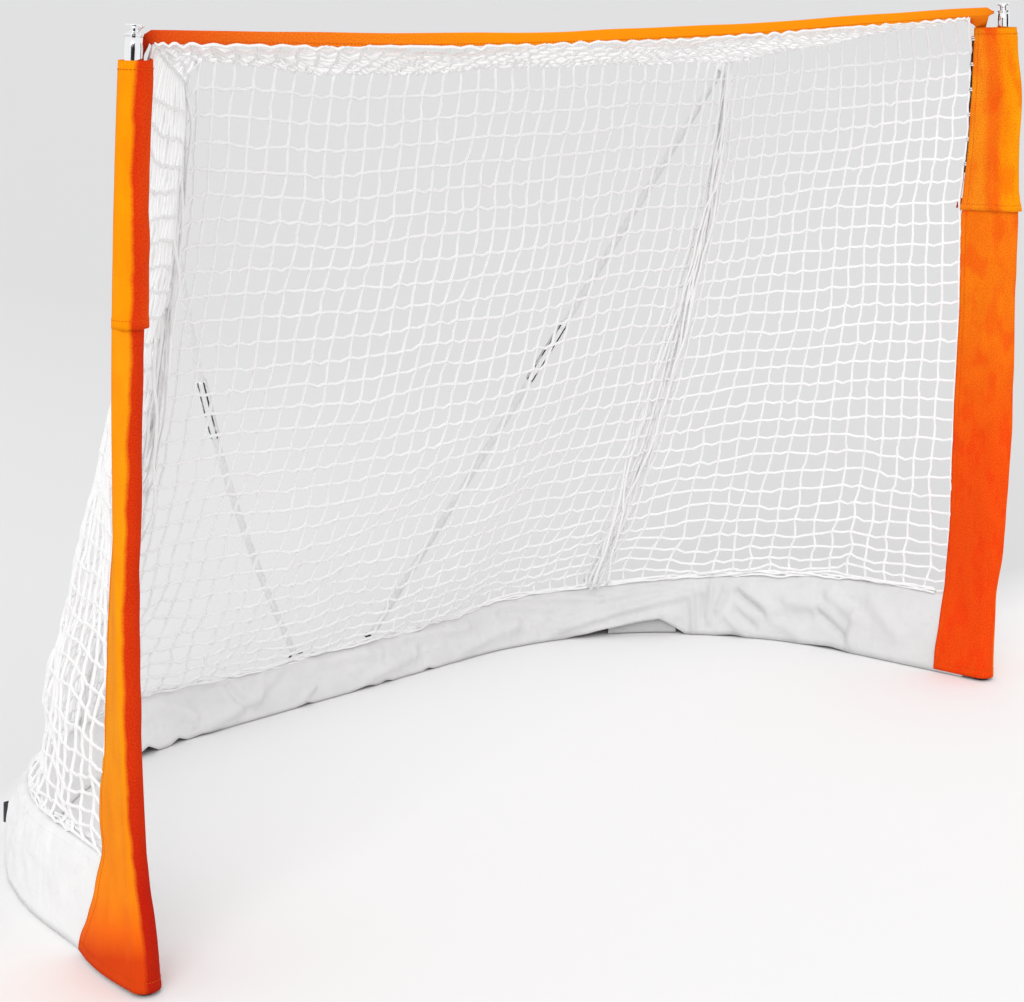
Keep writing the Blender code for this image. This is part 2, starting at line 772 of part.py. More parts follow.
def add_hub(parent, material, rubber):
    """A clamp block on the rear bar with two angled sockets for the poles, on a rubber pad."""
    bottom = HUB_PAD_HEIGHT + GAP
    centre = Vector((0, BASE_DEPTH + HUB_OFFSET, (HUB_TOP + bottom) / 2))
    size = (HUB_LENGTH, HUB_DEPTH, HUB_TOP - bottom)
    hub = make_object("pole_hub", box_mesh("pole_hub", centre, size, bevel=0.004), material, parent)
    bore_radius = POLE_RADIUS + POLE_CLEARANCE
    for side in (-1, 1):
        axis = pole_direction(side, 0)
        mouth = socket_mouth(side)
        floor = -SOCKET_DEPTH
        outside = bore_radius + SOCKET_WALL
        profile = [(floor - SOCKET_WALL, outside), (0, outside)]
        name = side_name("socket_wall", side)
        wall = turned_mesh(name, profile, mouth, axis, POST_SIDES)
        boolean(hub, make_object(name, wall, None, parent), "UNION")
    for side in (-1, 1):
        axis = pole_direction(side, 0)
        profile = [(floor, bore_radius), (2 * SOCKET_WALL, bore_radius)]
        name = side_name("socket_bore", side)
        bore = turned_mesh(name, profile, socket_mouth(side), axis, POST_SIDES)
        boolean(hub, make_object(name, bore, None, parent), "DIFFERENCE")
    bar_start = Vector((-HUB_LENGTH, BASE_DEPTH, BASE_AXIS_HEIGHT))
    bar_end = Vector((HUB_LENGTH, BASE_DEPTH, BASE_AXIS_HEIGHT))
    clearance = BASE_TUBE_RADIUS + GAP
    tool = rod_mesh("bar_bore", [bar_start, bar_end], [clearance, clearance], 2 * TUBE_SIDES)
    boolean(hub, make_object("bar_bore", tool, None, parent), "DIFFERENCE")

    pad_size = (0.8 * HUB_LENGTH, 0.8 * HUB_DEPTH, HUB_PAD_HEIGHT)
    pad_centre = Vector((0, BASE_DEPTH + HUB_OFFSET, HUB_PAD_HEIGHT / 2))
    make_object("hub_pad", box_mesh("hub_pad", pad_centre, pad_size, bevel=0.001), rubber, parent)


# Poles


def add_rod(name, path, radius, place, material, parent):
    """A round rod drawn as a bevelled curve, with its origin at place."""
    curve = bpy.data.curves.new(name, "CURVE")
    curve.dimensions = "3D"
    spline = curve.splines.new("POLY")
    spline.points.add(len(path) - 1)
    for point, target in zip(spline.points, path):
        point.co = (*(target - place), 1)
    curve.bevel_depth = radius
    curve.bevel_resolution = 3
    curve.use_fill_caps = True
    curve.materials.append(material)
    rod = bpy.data.objects.new(name, curve)
    rod.location = place
    rod.parent = parent
    bpy.context.collection.objects.link(rod)


def add_pole(side, parent, fibreglass, chrome, black, webbing):
    """A pole's two rods, the ferrule that joins them, its tip, and the net's corner pocket on it."""
    foot = pole_foot(side)
    half_gap = GAP / pole_length()
    steps = 8
    socket_end = socket_mouth(side) - pole_direction(side, 0) * (SOCKET_DEPTH - GAP)
    lower = [socket_end] + [pole_point(side, (0.5 - half_gap) * step / steps) for step in range(steps + 1)]
    add_rod(side_name("pole_lower", side), lower, POLE_RADIUS, foot, fibreglass, parent)
    cap_share = (TIP_CAP_LENGTH - TIP_CAP_GRIP) / pole_length()
    rod_end = 1 - cap_share
    upper = []
    for step in range(steps + 1):
        share = 0.5 + half_gap + (rod_end - 0.5 - half_gap) * step / steps
        upper.append(pole_point(side, share))
    add_rod(side_name("pole_upper", side), upper, POLE_RADIUS, foot, fibreglass, parent)

    half_share = FERRULE_LENGTH / 2 / pole_length()
    path = [pole_point(side, 0.5 + half_share * step / 2) for step in range(-2, 3)]
    inner = POLE_RADIUS + POLE_CLEARANCE
    outer = inner + FERRULE_WALL
    name = side_name("pole_ferrule", side)
    mesh = tube_mesh(name, path, [outer] * 5, [inner] * 5, POST_SIDES, foot)
    make_object(name, mesh, chrome, parent, foot)

    axis = pole_direction(side, 1)
    base = pole_point(side, rod_end) - axis * TIP_CAP_GRIP
    bore = POLE_RADIUS + POLE_CLEARANCE
    shell = bore + TIP_CAP_WALL
    name = side_name("pole_tip", side)
    profile = [
        (0, shell),
        (0.75 * TIP_CAP_LENGTH, shell),
        (0.93 * TIP_CAP_LENGTH, 0.8 * shell),
        (TIP_CAP_LENGTH, 0.45 * shell),
    ]
    tip = make_object(name, turned_mesh(name, profile, base, axis, POST_SIDES, foot), black, parent, foot)
    tool_profile = [(-TIP_CAP_GRIP, bore), (TIP_CAP_GRIP + GAP, bore)]
    tool = turned_mesh(name + "_bore", tool_profile, base, axis, POST_SIDES)
    boolean(tip, make_object(name + "_bore", tool, None, parent), "DIFFERENCE")

    pocket_inner = shell + GAP
    pocket_outer = pocket_inner + POCKET_WALL
    low = base - axis * (POCKET_LENGTH - 0.6 * TIP_CAP_LENGTH)
    path = [low, low + axis * POCKET_LENGTH]
    name = side_name("corner_pocket", side)
    mesh = tube_mesh(name, path, [pocket_outer] * 2, [pocket_inner] * 2, POST_SIDES, foot)
    make_object(name, mesh, webbing, parent, foot)


def grommet_base(side):
    """The centre of a grommet: where the pole's axis leaves the skirt."""
    axis = pole_direction(side, 0)
    rise = SKIRT_REAR_HEIGHT - GROMMET_HEIGHT - POLE_FOOT_HEIGHT
    return pole_foot(side) + axis * (rise / axis.z), axis


def add_grommet(side, parent, material):
    base, axis = grommet_base(side)
    inner = POLE_RADIUS + GROMMET_CLEARANCE
    outer = inner + GROMMET_WALL
    path = [base - axis * GROMMET_HEIGHT / 2, base + axis * GROMMET_HEIGHT / 2]
    name = side_name("pole_grommet", side)
    mesh = tube_mesh(name, path, [outer] * 2, [inner] * 2, POST_SIDES)
    make_object(name, mesh, material, parent)


# Soft pieces


def add_sleeve(side, parent, material):
    levels = [SLEEVE_HEM]
    levels += [SKIRT_HEM + (SKIRT_SIDE_HEIGHT - SKIRT_HEM) * share for share in SKIRT_ROWS[1:]]
    closing = SKIRT_SIDE_HEIGHT + 2 * FABRIC
    levels += [closing, 1.2 * closing]
    above = 5
    levels += [1.2 * closing + (CUFF_HEM - 1.2 * closing) * step / above for step in range(1, above + 1)]
    levels.append(SLEEVE_TOP)
    rows = []
    for height in levels:
        reaches = (sleeve_reach(height), sleeve_outer_reach(height))
        edges = [sleeve_edge(height, reach) for reach in reaches]
        if reaches[1] > reaches[0]:
            edges[1] = max(edges[1], NET_CORD / 2 + FABRIC / 2 + 2 * GAP)
        rows.append(wrap_row(side, height, sleeve_radius(height), reaches, edges, sleeve_drift(side, height)))
    name = side_name("post_sleeve", side)
    sleeve = make_object(name, sheet_mesh(name, rows), material, parent)
    thicken(sleeve, FABRIC)


def add_cuff(side, parent, material, tape):
    steps = 4
    heights = [CUFF_HEM]
    heights += [SLEEVE_TOP + (CUFF_TOP - SLEEVE_TOP) * step / steps for step in range(steps + 1)]
    edge = FABRIC / 2 + 3 * GAP + FABRIC + 2 * GAP
    rows = []
    for height in heights:
        reach = cuff_reach(height)
        rows.append(wrap_row(side, height, cuff_radius(height), (reach, reach), (edge, edge), Vector()))
    name = side_name("post_cuff", side)
    cuff = make_object(name, sheet_mesh(name, rows), material, parent)
    thicken(cuff, FABRIC)

    low = SLEEVE_TOP + FABRIC
    rows = []
    for step in range(steps + 1):
        height = low + (CUFF_TOP - FABRIC - low) * step / steps
        rearward, _ = flap_axes(side, height)
        edge = post_point(side, height) + rearward * (cuff_reach(height) + TAPE_PROUD)
        rows.append([edge, edge - rearward * TAPE_WIDTH])
    name = side_name("closure_tape", side)
    strip = make_object(name, sheet_mesh(name, rows), tape, parent)
    thicken(strip, TAPE_THICKNESS)


def band_tab():
    """The middle of the band's turned-down end, between the two layers of the right-hand cuff."""
    rearward, _ = flap_axes(1, CUFF_TOP)
    return post_point(1, CUFF_TOP) + rearward * BAND_TAB_REACH


def add_top_band(parent, material):
    """The fabric band across the top, each end turned down into a cuff."""
    bottom = BAND_TOP - BAND_HEIGHT
    tab = band_tab()
    tab_bottom = CUFF_TOP - BAND_TAB_DEPTH
    tab_inner = tab.x - BAND_TAB_WIDTH / 2
    tab_outer = tab.x + BAND_TAB_WIDTH / 2
    tip = tab_outer + BAND_TIP_LENGTH
    corner = BAND_HEIGHT / 6
    # distance from the middle, top, bottom and how far the bottom edge is set back
    stations = [
        (0, BAND_TOP, bottom, BAND_SETBACK),
        (0.25 * tip, BAND_TOP, bottom, BAND_SETBACK),
        (0.5 * tip, BAND_TOP, bottom, BAND_SETBACK),
        (0.75 * tip, BAND_TOP, bottom, BAND_SETBACK),
        (tab_inner - BAND_HEIGHT, BAND_TOP, bottom, BAND_SETBACK),
        (tab_inner - corner, BAND_TOP, bottom - corner, tab.y),
        (tab_inner, BAND_TOP, tab_bottom, tab.y),
        (tab_outer, BAND_TOP - corner / 3, tab_bottom, tab.y),
        (tip, BAND_TOP - 0.4 * BAND_HEIGHT, BAND_TOP - 0.6 * BAND_HEIGHT, BAND_SETBACK),
    ]
    columns = []
    for side, order in ((-1, stations[:0:-1]), (1, stations)):
        for x, top, low, setback in order:
            middle = (top + max(low, bottom)) / 2
            bend = low + (middle - low) / 3
            if low < CUFF_TOP:
                bend = max(bend, CUFF_TOP + BAND_THICKNESS)
            columns.append(
                [
                    Vector((side * x, BAND_SETBACK, top)),
                    Vector((side * x, BAND_SETBACK, middle)),
                    Vector((side * x, setback, bend)),
                    Vector((side * x, setback, low)),
                ]
            )
    band = make_object("top_band", sheet_mesh("top_band", columns), material, parent)
    thicken(band, BAND_THICKNESS)


def skirt_row(point, along, spread_out, place, height):
    """Across the skirt: up its inner wall, over the seam and down its outer wall."""
    outward = Vector((along.y, -along.x, 0))
    inner = []
    outer = []
    for share in SKIRT_ROWS:
        level = SKIRT_HEM + (height - SKIRT_HEM) * share
        half = skirt_half_width(place, level)
        extra = spread_out * (1 - share**4)
        inner.append(Vector((point.x, point.y, level)) - outward * half)
        outer.append(Vector((point.x, point.y, level)) + outward * (half + extra))
    return inner + outer[::-1]


def add_side_skirt(side, parent, material):
    start = SKIRT_FRONT_SETBACK
    end = BASE_LEG + BEND_LENGTH - GAP
    steps = 15
    rows = []
    for step in range(steps + 1):
        place = start + (end - start) * step / steps
        point, along = base_point(side, place)
        turned = along if side > 0 else -along
        rows.append(skirt_row(point, turned, skirt_swell(place), place, skirt_height(place)))
    name = side_name("skirt", side)
    skirt = make_object(name, sheet_mesh(name, rows), material, parent)
    thicken(skirt, FABRIC)


def add_rear_skirt(parent, material):
    """The straight part of the skirt, which bulges over the hub and is pierced by the two poles."""
    end = BEND_CENTRE.x - GAP
    shares = (-1, -0.7, -0.42, -0.2, 0, 0.2, 0.42, 0.7, 1)
    rows = []
    for share in shares:
        x = end * share
        place = HALF_BASE_LENGTH - abs(x)
        bulge = SKIRT_BULGE if abs(x) < HUB_LENGTH else 0
        point = Vector((x, BASE_DEPTH, 0))
        rows.append(skirt_row(point, Vector((-1, 0, 0)), bulge, place, skirt_height(place)))
    skirt = make_object("skirt_rear", sheet_mesh("skirt_rear", rows), material, parent)
    thicken(skirt, FABRIC)
    for side in (-1, 1):
        base, axis = grommet_base(side)
        radius = POLE_RADIUS + GROMMET_CLEARANCE + GROMMET_WALL + GAP
        profile = [(-0.35 * SKIRT_REAR_HEIGHT, radius), (0.35 * SKIRT_REAR_HEIGHT, radius)]
        name = side_name("pole_opening", side)
        tool = turned_mesh(name, profile, base, axis, POST_SIDES)
        boolean(skirt, make_object(name, tool, None, parent), "DIFFERENCE")


def add_skirt_tab(side, parent, material):
    """A short webbing pull sewn to the outside of the skirt."""
    middle = SKIRT_TAB_BOTTOM + SKIRT_TAB_HEIGHT / 2
    point, along = base_point(side, SKIRT_TAB_PLACE, middle)
    outward = Vector((along.y, -along.x, 0)) * side
    wall = skirt_half_width(SKIRT_TAB_PLACE, SKIRT_TAB_BOTTOM) + skirt_swell(SKIRT_TAB_PLACE) + FABRIC + GAP
    centre = point + outward * (wall + SKIRT_TAB_PROUD / 2)
    turn = Matrix((outward, along, Vector((0, 0, 1)))).transposed().to_4x4()
    size = (SKIRT_TAB_PROUD, SKIRT_TAB_WIDTH, SKIRT_TAB_HEIGHT)
    name = side_name("skirt_tab", side)
    make_object(name, box_mesh(name, centre, size, turn=turn, bevel=0.001), material, parent)


def add_net(name, rows, parent, material):
    """An open lattice: every edge of the sheet becomes a cord."""
    net = make_object(name, sheet_mesh(name, rows), material, parent)
    cords = net.modifiers.new("cords", "WIREFRAME")
    cords.thickness = NET_CORD
    cords.offset = 0
    cords.use_even_offset = False
    cords.use_boundary = True
    cords.use_replace = True


def cells(length):
    return max(round(length / NET_PITCH), 2)


def add_nets(parent, material):
    seam = NET_CORD + 2 * GAP
    band_bottom = BAND_TOP - BAND_HEIGHT
    front_end = net_front_point(1, CUFF_TOP)
    front_y = BAND_SETBACK
    front_z = band_bottom - BAND_THICKNESS - NET_CORD

    def roof_front(share):
        x = (abs(front_end.x) - BAND_TAB_WIDTH) * (2 * share - 1)
        return Vector((x, front_y, front_z))

    def roof_side(side):
        def edge(share):
            start = roof_front((side + 1) / 2)
            return start.lerp(net_corner(side), share) - Vector((side * seam, 0, 0)) * share

        return edge

    def roof_rear(share):
        shift = Vector(((1 - 2 * share) * seam, 0, 0))
        return ridge_point(share) + shift

    across = cells(MOUTH_WIDTH * 0.8)
    rows = patch(roof_front, roof_rear, roof_side(-1), roof_side(1), across, 3, Vector((0, 0, -ROOF_SAG)))
    add_net("net_roof", rows, parent, material)

    def back_top(share):
        return ridge_point(share) + Vector(((1 - 2 * share) * seam, 0, -seam))

    def back_side(side):
        def edge(share):
            return crease_point(side, share) + Vector((-side * seam, 0, -seam * (1 - share)))

        return edge

    def back_bottom(share):
        reach = HALF_BASE_LENGTH - CREASE_PLACE
        offset = (2 * share - 1) * reach
        point = skirt_top_point(1 if offset > 0 else -1, HALF_BASE_LENGTH - abs(offset))
        return point + Vector(((1 - 2 * share) * seam, 0, 0))

    across = cells(2 * POLE_TIP_SPREAD)
    down = cells(POLE_TIP_HEIGHT - SKIRT_REAR_HEIGHT)
    belly = Vector((0, -BACK_BELLY, 0))
    rows = patch(back_top, back_bottom, back_side(-1), back_side(1), across, down, belly)
    add_net("net_back", rows, parent, material)

    for side in (-1, 1):
        low = SKIRT_SIDE_HEIGHT + FABRIC + NET_CORD
        high = CUFF_TOP - NET_CORD

        def front(share, side=side):
            return net_front_point(side, high + (low - high) * share)

        def rear(share, side=side):
            return crease_point(side, share) + Vector((side * seam / 2, 0, 0))

        def top(share, side=side):
            return front(0).lerp(rear(0), share) - Vector((0, 0, 4 * share * (1 - share) * ROOF_SAG))

        def bottom(share, side=side):
            start = sleeve_reach(low) + NET_CORD
            end = CREASE_PLACE
            point = skirt_top_point(side, start + (end - start) * share)
            return point + Vector((side * seam / 2 * share, 0, 0))

        belly = Vector((-side * SIDE_BELLY, 0, 0))
        rows = patch(top, bottom, front, rear, 4, down, belly)
        add_net(side_name("net_side", side), rows, parent, material)


def build():
    clear_scene()
    chrome = make_material("chrome", (0.83, 0.84, 0.86), 0.12, 1.0)
    steel = make_material("bright_steel", (0.62, 0.63, 0.65), 0.3, 1.0)
    black_steel = make_material("black_painted_steel", (0.02, 0.02, 0.025), 0.4, 0.0)
    rubber = make_material("black_rubber", (0.015, 0.015, 0.016), 0.75)
    plastic = make_material("black_plastic", (0.02, 0.02, 0.022), 0.5)
    fibreglass = make_material("white_fibreglass", (0.78, 0.79, 0.8), 0.35)
    orange = make_material("orange_fabric", (1.0, 0.27, 0.01), 0.85)
    dark_tape = make_material("maroon_tape", (0.12, 0.012, 0.008), 0.9)
    white_cloth = make_material("white_skirt_fabric", (0.84, 0.84, 0.85), 0.8)
    white_cord = make_material("white_net_cord", (0.88, 0.88, 0.88), 0.8)
    webbing = make_material("black_webbing", (0.02, 0.022, 0.03), 0.85)

    mouth = make_empty("mouth", (0, MOUTH_Y, 0))
    add_rear_bar(mouth, black_steel)
    add_hub(mouth, plastic, rubber)
    for side in (-1, 1):
        add_base_side(side, mouth, black_steel)
        add_post_foot(side, mouth, rubber)
        add_upright(side, mouth, chrome, steel)
        place = base_button_place(side)
        up = Vector((0, 0, 1))
        inward = Vector((-side, 0, 0))
        bar_bore = BASE_BORE - SLIDE_CLEARANCE - BASE_TUBE_WALL
        add_button(side_name("base_button", side), place, up, BASE_TUBE_RADIUS, mouth, steel)
        clip = side_name("base_spring_clip", side)
        add_spring_clip(clip, place, up, -inward, bar_bore, mouth, steel)
        add_pole(side, mouth, fibreglass, chrome, rubber, white_cloth)
        add_grommet(side, mouth, plastic)
        add_sleeve(side, mouth, orange)
        add_cuff(side, mouth, orange, dark_tape)
        add_side_skirt(side, mouth, white_cloth)
        add_skirt_tab(side, mouth, webbing)
    add_rear_skirt(mouth, white_cloth)
    add_top_band(mouth, orange)
    add_nets(mouth, white_cord)


build()
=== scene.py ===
import math

import bmesh
import bpy
import numpy as np
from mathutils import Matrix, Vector


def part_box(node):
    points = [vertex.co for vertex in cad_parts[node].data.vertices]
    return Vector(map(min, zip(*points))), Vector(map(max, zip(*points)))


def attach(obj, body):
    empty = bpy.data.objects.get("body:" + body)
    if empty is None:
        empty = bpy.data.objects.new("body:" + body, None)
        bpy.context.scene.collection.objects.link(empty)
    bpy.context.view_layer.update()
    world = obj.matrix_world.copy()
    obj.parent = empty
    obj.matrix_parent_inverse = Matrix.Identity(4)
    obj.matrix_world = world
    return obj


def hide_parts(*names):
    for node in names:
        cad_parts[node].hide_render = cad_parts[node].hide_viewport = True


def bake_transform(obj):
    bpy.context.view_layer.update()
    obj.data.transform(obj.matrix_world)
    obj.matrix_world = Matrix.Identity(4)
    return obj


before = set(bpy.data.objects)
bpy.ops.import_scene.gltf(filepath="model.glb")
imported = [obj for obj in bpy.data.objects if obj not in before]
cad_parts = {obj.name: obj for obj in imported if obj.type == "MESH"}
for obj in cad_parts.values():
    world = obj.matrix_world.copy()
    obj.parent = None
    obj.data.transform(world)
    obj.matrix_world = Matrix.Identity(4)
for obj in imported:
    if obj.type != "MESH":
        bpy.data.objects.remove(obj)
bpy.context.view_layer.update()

# The looks of a portable roller hockey goal: sleeves, cuffs and skirt as wrinkled cloth, the net as
# knotted strands, and the finish of every tube, rod and fitting. Sizes are in metres. Points are worked
# out from the mouth, with Y = 0 on the axes of the uprights, as the solids are, and moved by MOUTH_Y.

FOOT_LOW, FOOT_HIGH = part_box("post_foot_right")
MOUTH_Y = (FOOT_LOW.y + FOOT_HIGH.y) / 2
MOUTH_WIDTH = FOOT_LOW.x + FOOT_HIGH.x

# Uprights
POST_HEIGHT = 1.25
POST_LEAN = 0.047
POST_BOW = 0.022
POST_RADIUS = 0.011
POST_LIFT = 0.040
POST_LIFT_LEAN = 0.0266
POST_SHOWN_FROM = 0.66
CAP_HEIGHT = 0.014
CAP_FLARE_RADIUS = 0.0118

# Base frame
BASE_TOE_IN = math.radians(8.4)
BASE_LEG = 0.273
BASE_BEND_RADIUS = 0.59
BASE_TUBE_RADIUS = 0.0125
BASE_AXIS_HEIGHT = 0.0219

# Poles
POLE_RADIUS = 0.00635
POLE_FOOT = (0.0784, 0.0144, 0.070)
POLE_TIP = (0.6072, 0.3743, 1.1614)
POLE_BOW_OUT = 0.0402
POLE_BOW_BACK = 0.0311
FERRULE_LENGTH = 0.125
FERRULE_WALL = 0.0022
FERRULE_PROUD = 0.0028
FERRULE_SLOTS = 5
POCKET_RADIUS = 0.0112
POCKET_DEPTH = {-1: 0.058, 1: 0.036}
POCKET_OPENING = {-1: 0.0008, 1: 0.0042}
POCKET_DOME_START = 0.74

# Sleeves and cuffs
FABRIC = 0.0016
CLOTH = 0.0013
HEM_FOLD = 0.012
HEM_SWELL = 0.9
FLAP_TOP_ANGLE = math.radians(42.6)
FLAP_TURN_START = 0.155
SLEEVE_HEM = 0.006
SLEEVE_UNDER_CUFF = 0.065
SLEEVE_FOOT_RADIUS = 0.0212
SLEEVE_RADIUS = 0.0168
SLEEVE_REACH_LOW = 0.091
SLEEVE_REACH_TOP = 0.067
SLEEVE_TAPER_START = 0.20
SLEEVE_FLARE = {
    -1: (
        (0.0, 0.063), (0.02, 0.062), (0.067, 0.036), (0.103, 0.020), (0.130, 0.017), (0.150, 0.014),
        (0.173, 0.015), (0.209, 0.022), (0.245, 0.018), (0.28, 0.009), (0.313, 0.004), (0.40, 0.0),
    ),
    1: ((0.0, 0.070), (0.067, 0.046), (0.12, 0.010), (0.16, 0.0), (1.25, 0.0)),
}
SLEEVE_POUCH = {-1: 0.008, 1: 0.0}
SLEEVE_CLEARANCE = 0.0040
CUFF_LENGTH = 0.3215
CUFF_HEM_RADIUS = 0.0222
CUFF_TOP_RADIUS = 0.0186
CUFF_HEM_REACH = 0.0745
CUFF_TOP_REACH = 0.0505
LAYER_GAP = 0.0020
ROOM_ROUND_POST = 0.0022
ROOM_ROUND_TUBE = 0.0022
TAPE_WIDTH = 0.010
TAPE_PROUD = 0.003
TIE_PITCH = 0.044
TAPE_END = 0.018
CORNER_LOW = 0.003
CORNER_SIZE = (0.0135, 0.017)

# How the cloth hangs off the line of the solids, as pairs of height and distance: slack in front of each
# upright, a tighter wrap, a shift of the left upright's cloth to the camera's right, and rear edges drawn
# forward
STRAIGHT = ((0.0, 0.0), (POST_HEIGHT, 0.0))
FRONT_SLACK = {
    -1: STRAIGHT,
    1: (
        (0.0, 0.0), (0.155, 0.0), (0.26, 0.011), (0.46, 0.015), (0.575, 0.0115), (0.69, 0.010), (0.80, 0.011),
        (0.873, 0.0125), (0.93, 0.0075), (1.0, 0.008), (1.083, 0.0105), (1.187, 0.004), (1.21, 0.002),
    ),
}
TIGHTER = {
    -1: (
        (0.0, 0.0), (0.15, 0.001), (0.22, 0.0030), (0.3, 0.0034), (0.42, 0.0015), (0.57, 0.0035), (0.7, 0.001),
        (0.88, 0.0008),
    ),
    1: STRAIGHT,
}
SHIFT = {
    -1: (
        (0.0, 0.0), (0.09, 0.0), (0.16, -0.0022), (0.24, -0.0022), (0.34, 0.0), (0.45, 0.002), (0.74, 0.003),
        (0.886, 0.0036), (1.21, 0.0045),
    ),
    1: STRAIGHT,
}
SHIFT_DIRECTION = (0.732, -0.681, 0.0)
SHORTER = {
    -1: STRAIGHT,
    1: (
        (0.0, 0.002), (0.10, 0.006), (0.35, 0.006), (0.46, 0.008), (0.575, 0.008), (0.69, 0.006), (0.80, 0.002),
        (0.873, 0.0005), (0.92, 0.005), (1.0, 0.006), (1.083, 0.004), (1.187, 0.002), (1.25, 0.0),
    ),
}

# Top band
BAND_DROP = 0.0065
BAND_TO_CUFF = 0.035
BAND_HEIGHT = 0.018
BAND_THICKNESS = 0.005
BAND_SETBACK = 0.008
BAND_TAB_WIDTH = 0.009
BAND_TAB_REACH = 0.0375
BAND_TAB_DEPTH = 0.012
# The tab's upper edge, as two distances from the middle of the band, and its lower one as two reaches
BAND_TAB_TOP = {-1: (0.886, 0.869), 1: (0.790, 0.862)}
BAND_TAB_FOOT = {-1: (0.030, 0.045), 1: (0.048, 0.030)}
BAND_SAG = (
    (-0.90, 0.0), (-0.80, 0.0022), (-0.64, 0.0080), (-0.47, 0.0140), (-0.29, 0.0172), (-0.08, 0.0182),
    (0.12, 0.0167), (0.30, 0.0138), (0.47, 0.0082), (0.61, 0.0045), (0.78, 0.0010), (0.90, 0.0),
)

# Skirt
SKIRT_FRONT_SETBACK = 0.030
SKIRT_HEM = 0.003
SKIRT_HEM_DROP = 0.0018
SKIRT_SIDE_HEIGHT = 0.152
SKIRT_REAR_HEIGHT = 0.097
SKIRT_DIP = 0.015
SKIRT_DIP_START = 0.45
SKIRT_DIP_END = 0.20
SKIRT_FRONT_SPREAD = 0.0168
SKIRT_REAR_SPREAD = 0.0235
SKIRT_RIDGE = 0.0028
SKIRT_FULLNESS = 1.7
SKIRT_SIDE_SWELL = 0.013
SKIRT_SWELL_START = 0.185
SKIRT_SWELL_END = 0.84
SKIRT_BULGE = 0.0224
SKIRT_TAB_PLACE = 0.58
SKIRT_TAB_BOTTOM = 0.030
SKIRT_TAB_HEIGHT = 0.031
SKIRT_TAB_WIDTH = 0.012
SKIRT_TAB_PROUD = 0.009

# Where the inner hem is dragged up off the floor, measured along the skirt from the middle of its rear,
# positive to the right: start, peak and end of each gap, then its height
HEM_GAPS = (
    (-0.490, -0.452, -0.426, 0.014), (-0.398, -0.378, -0.358, 0.008), (-0.360, -0.320, -0.270, 0.0022),
    (-0.118, -0.092, -0.074, 0.0042), (0.010, 0.052, 0.074, 0.0046), (0.080, 0.094, 0.114, 0.0042),
    (0.188, 0.202, 0.216, 0.0042), (0.540, 0.745, 0.802, 0.033), (0.860, 0.900, 0.930, 0.0035),
    (1.050, 1.110, 1.165, 0.0045),
)

FOLD_STRENGTH = 2.3

# Folds of the inner wall in millimetres: place along the skirt and height of a start and of an end, half
# width and depth. A positive depth stands into the goal.
SKIRT_FOLDS = np.array((
    (520, 20, 802, 80, 8.5, 6.2), (575, 8, 749, 40, 6, 4), (450, 92, 624, 74, 6, 3),
    (624, 74, 808, 101, 5.5, 3), (814, 85, 818, 8, 5.5, 4.8), (835, 80, 838, 30, 4.5, -3.5),
    (852, 102, 852, 30, 5, 4), (885, 96, 866, 50, 6, 4), (905, 92, 966, 55, 5.5, -5.8),
    (925, 96, 990, 60, 9, 4.8), (905, 55, 950, 24, 5, -4.6), (890, 40, 930, 10, 8, 5),
    (966, 55, 1040, 20, 12, 4), (1010, 83, 1107, 77, 10, 3.6), (1080, 74, 1142, 34, 5.5, -5),
    (1104, 108, 1170, 78, 12, 4.8), (1170, 78, 1160, 22, 10, 5), (1200, 110, 1260, 60, 16, 4),
    (1000, 50, 1060, 60, 12, -3), (-310, 12, -204, 40, 11, 5), (-204, 40, -176, 82, 9, 4.6),
    (-190, 50, -124, 83, 8.5, 4.4), (-104, 12, -74, 30, 6, 4.4), (-325, 62, -285, 68, 20, -4.6),
    (-420, 80, -340, 40, 12, 4), (-250, 70, -225, 20, 9, -4), (-60, 70, 90, 60, 11, 3.8),
    (60, 20, 170, 40, 12, 4), (150, 75, 310, 60, 10, 3.6), (280, 15, 430, 45, 12, 4.2),
    (400, 70, 520, 50, 10, -3.6),
)) / 1000

# Lining that shows through the widest hem gap
LINING_START = 0.640
LINING_END = 0.782
LINING_LOW = 0.0012
LINING_HEIGHT = 0.034

# Net
STRAND_RADIUS = 0.0026
KNOT_SWELL = 1.25
KNOT_SCATTER = 0.0030 * 0.35
STRAND_SCATTER = 0.0008
NET_SEAM_INSET = 0.0065
CREASE_PLACE = 0.82
CREASE_BELLY = 0.048
CORNER_INSET = (0.024, 0.018, 0.006)
RIDGE_SAG = -0.004
RIDGE_PULL = 0.020
RIDGE_LIFT = 0.030
ROOF_SAG = 0.008
ROOF_HALF_WIDTH = {-1: 0.862, 1: 0.802}
BACK_BELLY = 0.03
SIDE_BELLY = 0.012

# Camera, found from the corners of the mouth
CAMERA_PLACE = (-2.3648, -2.2459, 1.3280)
CAMERA_YAW = 0.8217
CAMERA_PITCH = 0.2468
CAMERA_FOCUS = 2159.72
PICTURE_WIDTH = 1024

# Light. The flags are plan lines from the mouth.
ROOM_LIGHT = 0.88
ROOM_SEEN = (0.93, 0.93, 0.935)
LAMP = 1.0
LAMP_HEADING = (0.62, 0.50, -0.60)
FLOOR_HALF = 90.0
FLAG_HEIGHT = 2.2
FLAGS = (
    ((-2.03, -0.507), (-1.25, -1.16)),
    ((1.016, -0.993), (1.60, -0.712)),
    ((0.682, 0.976), (0.105, 0.607)),
)

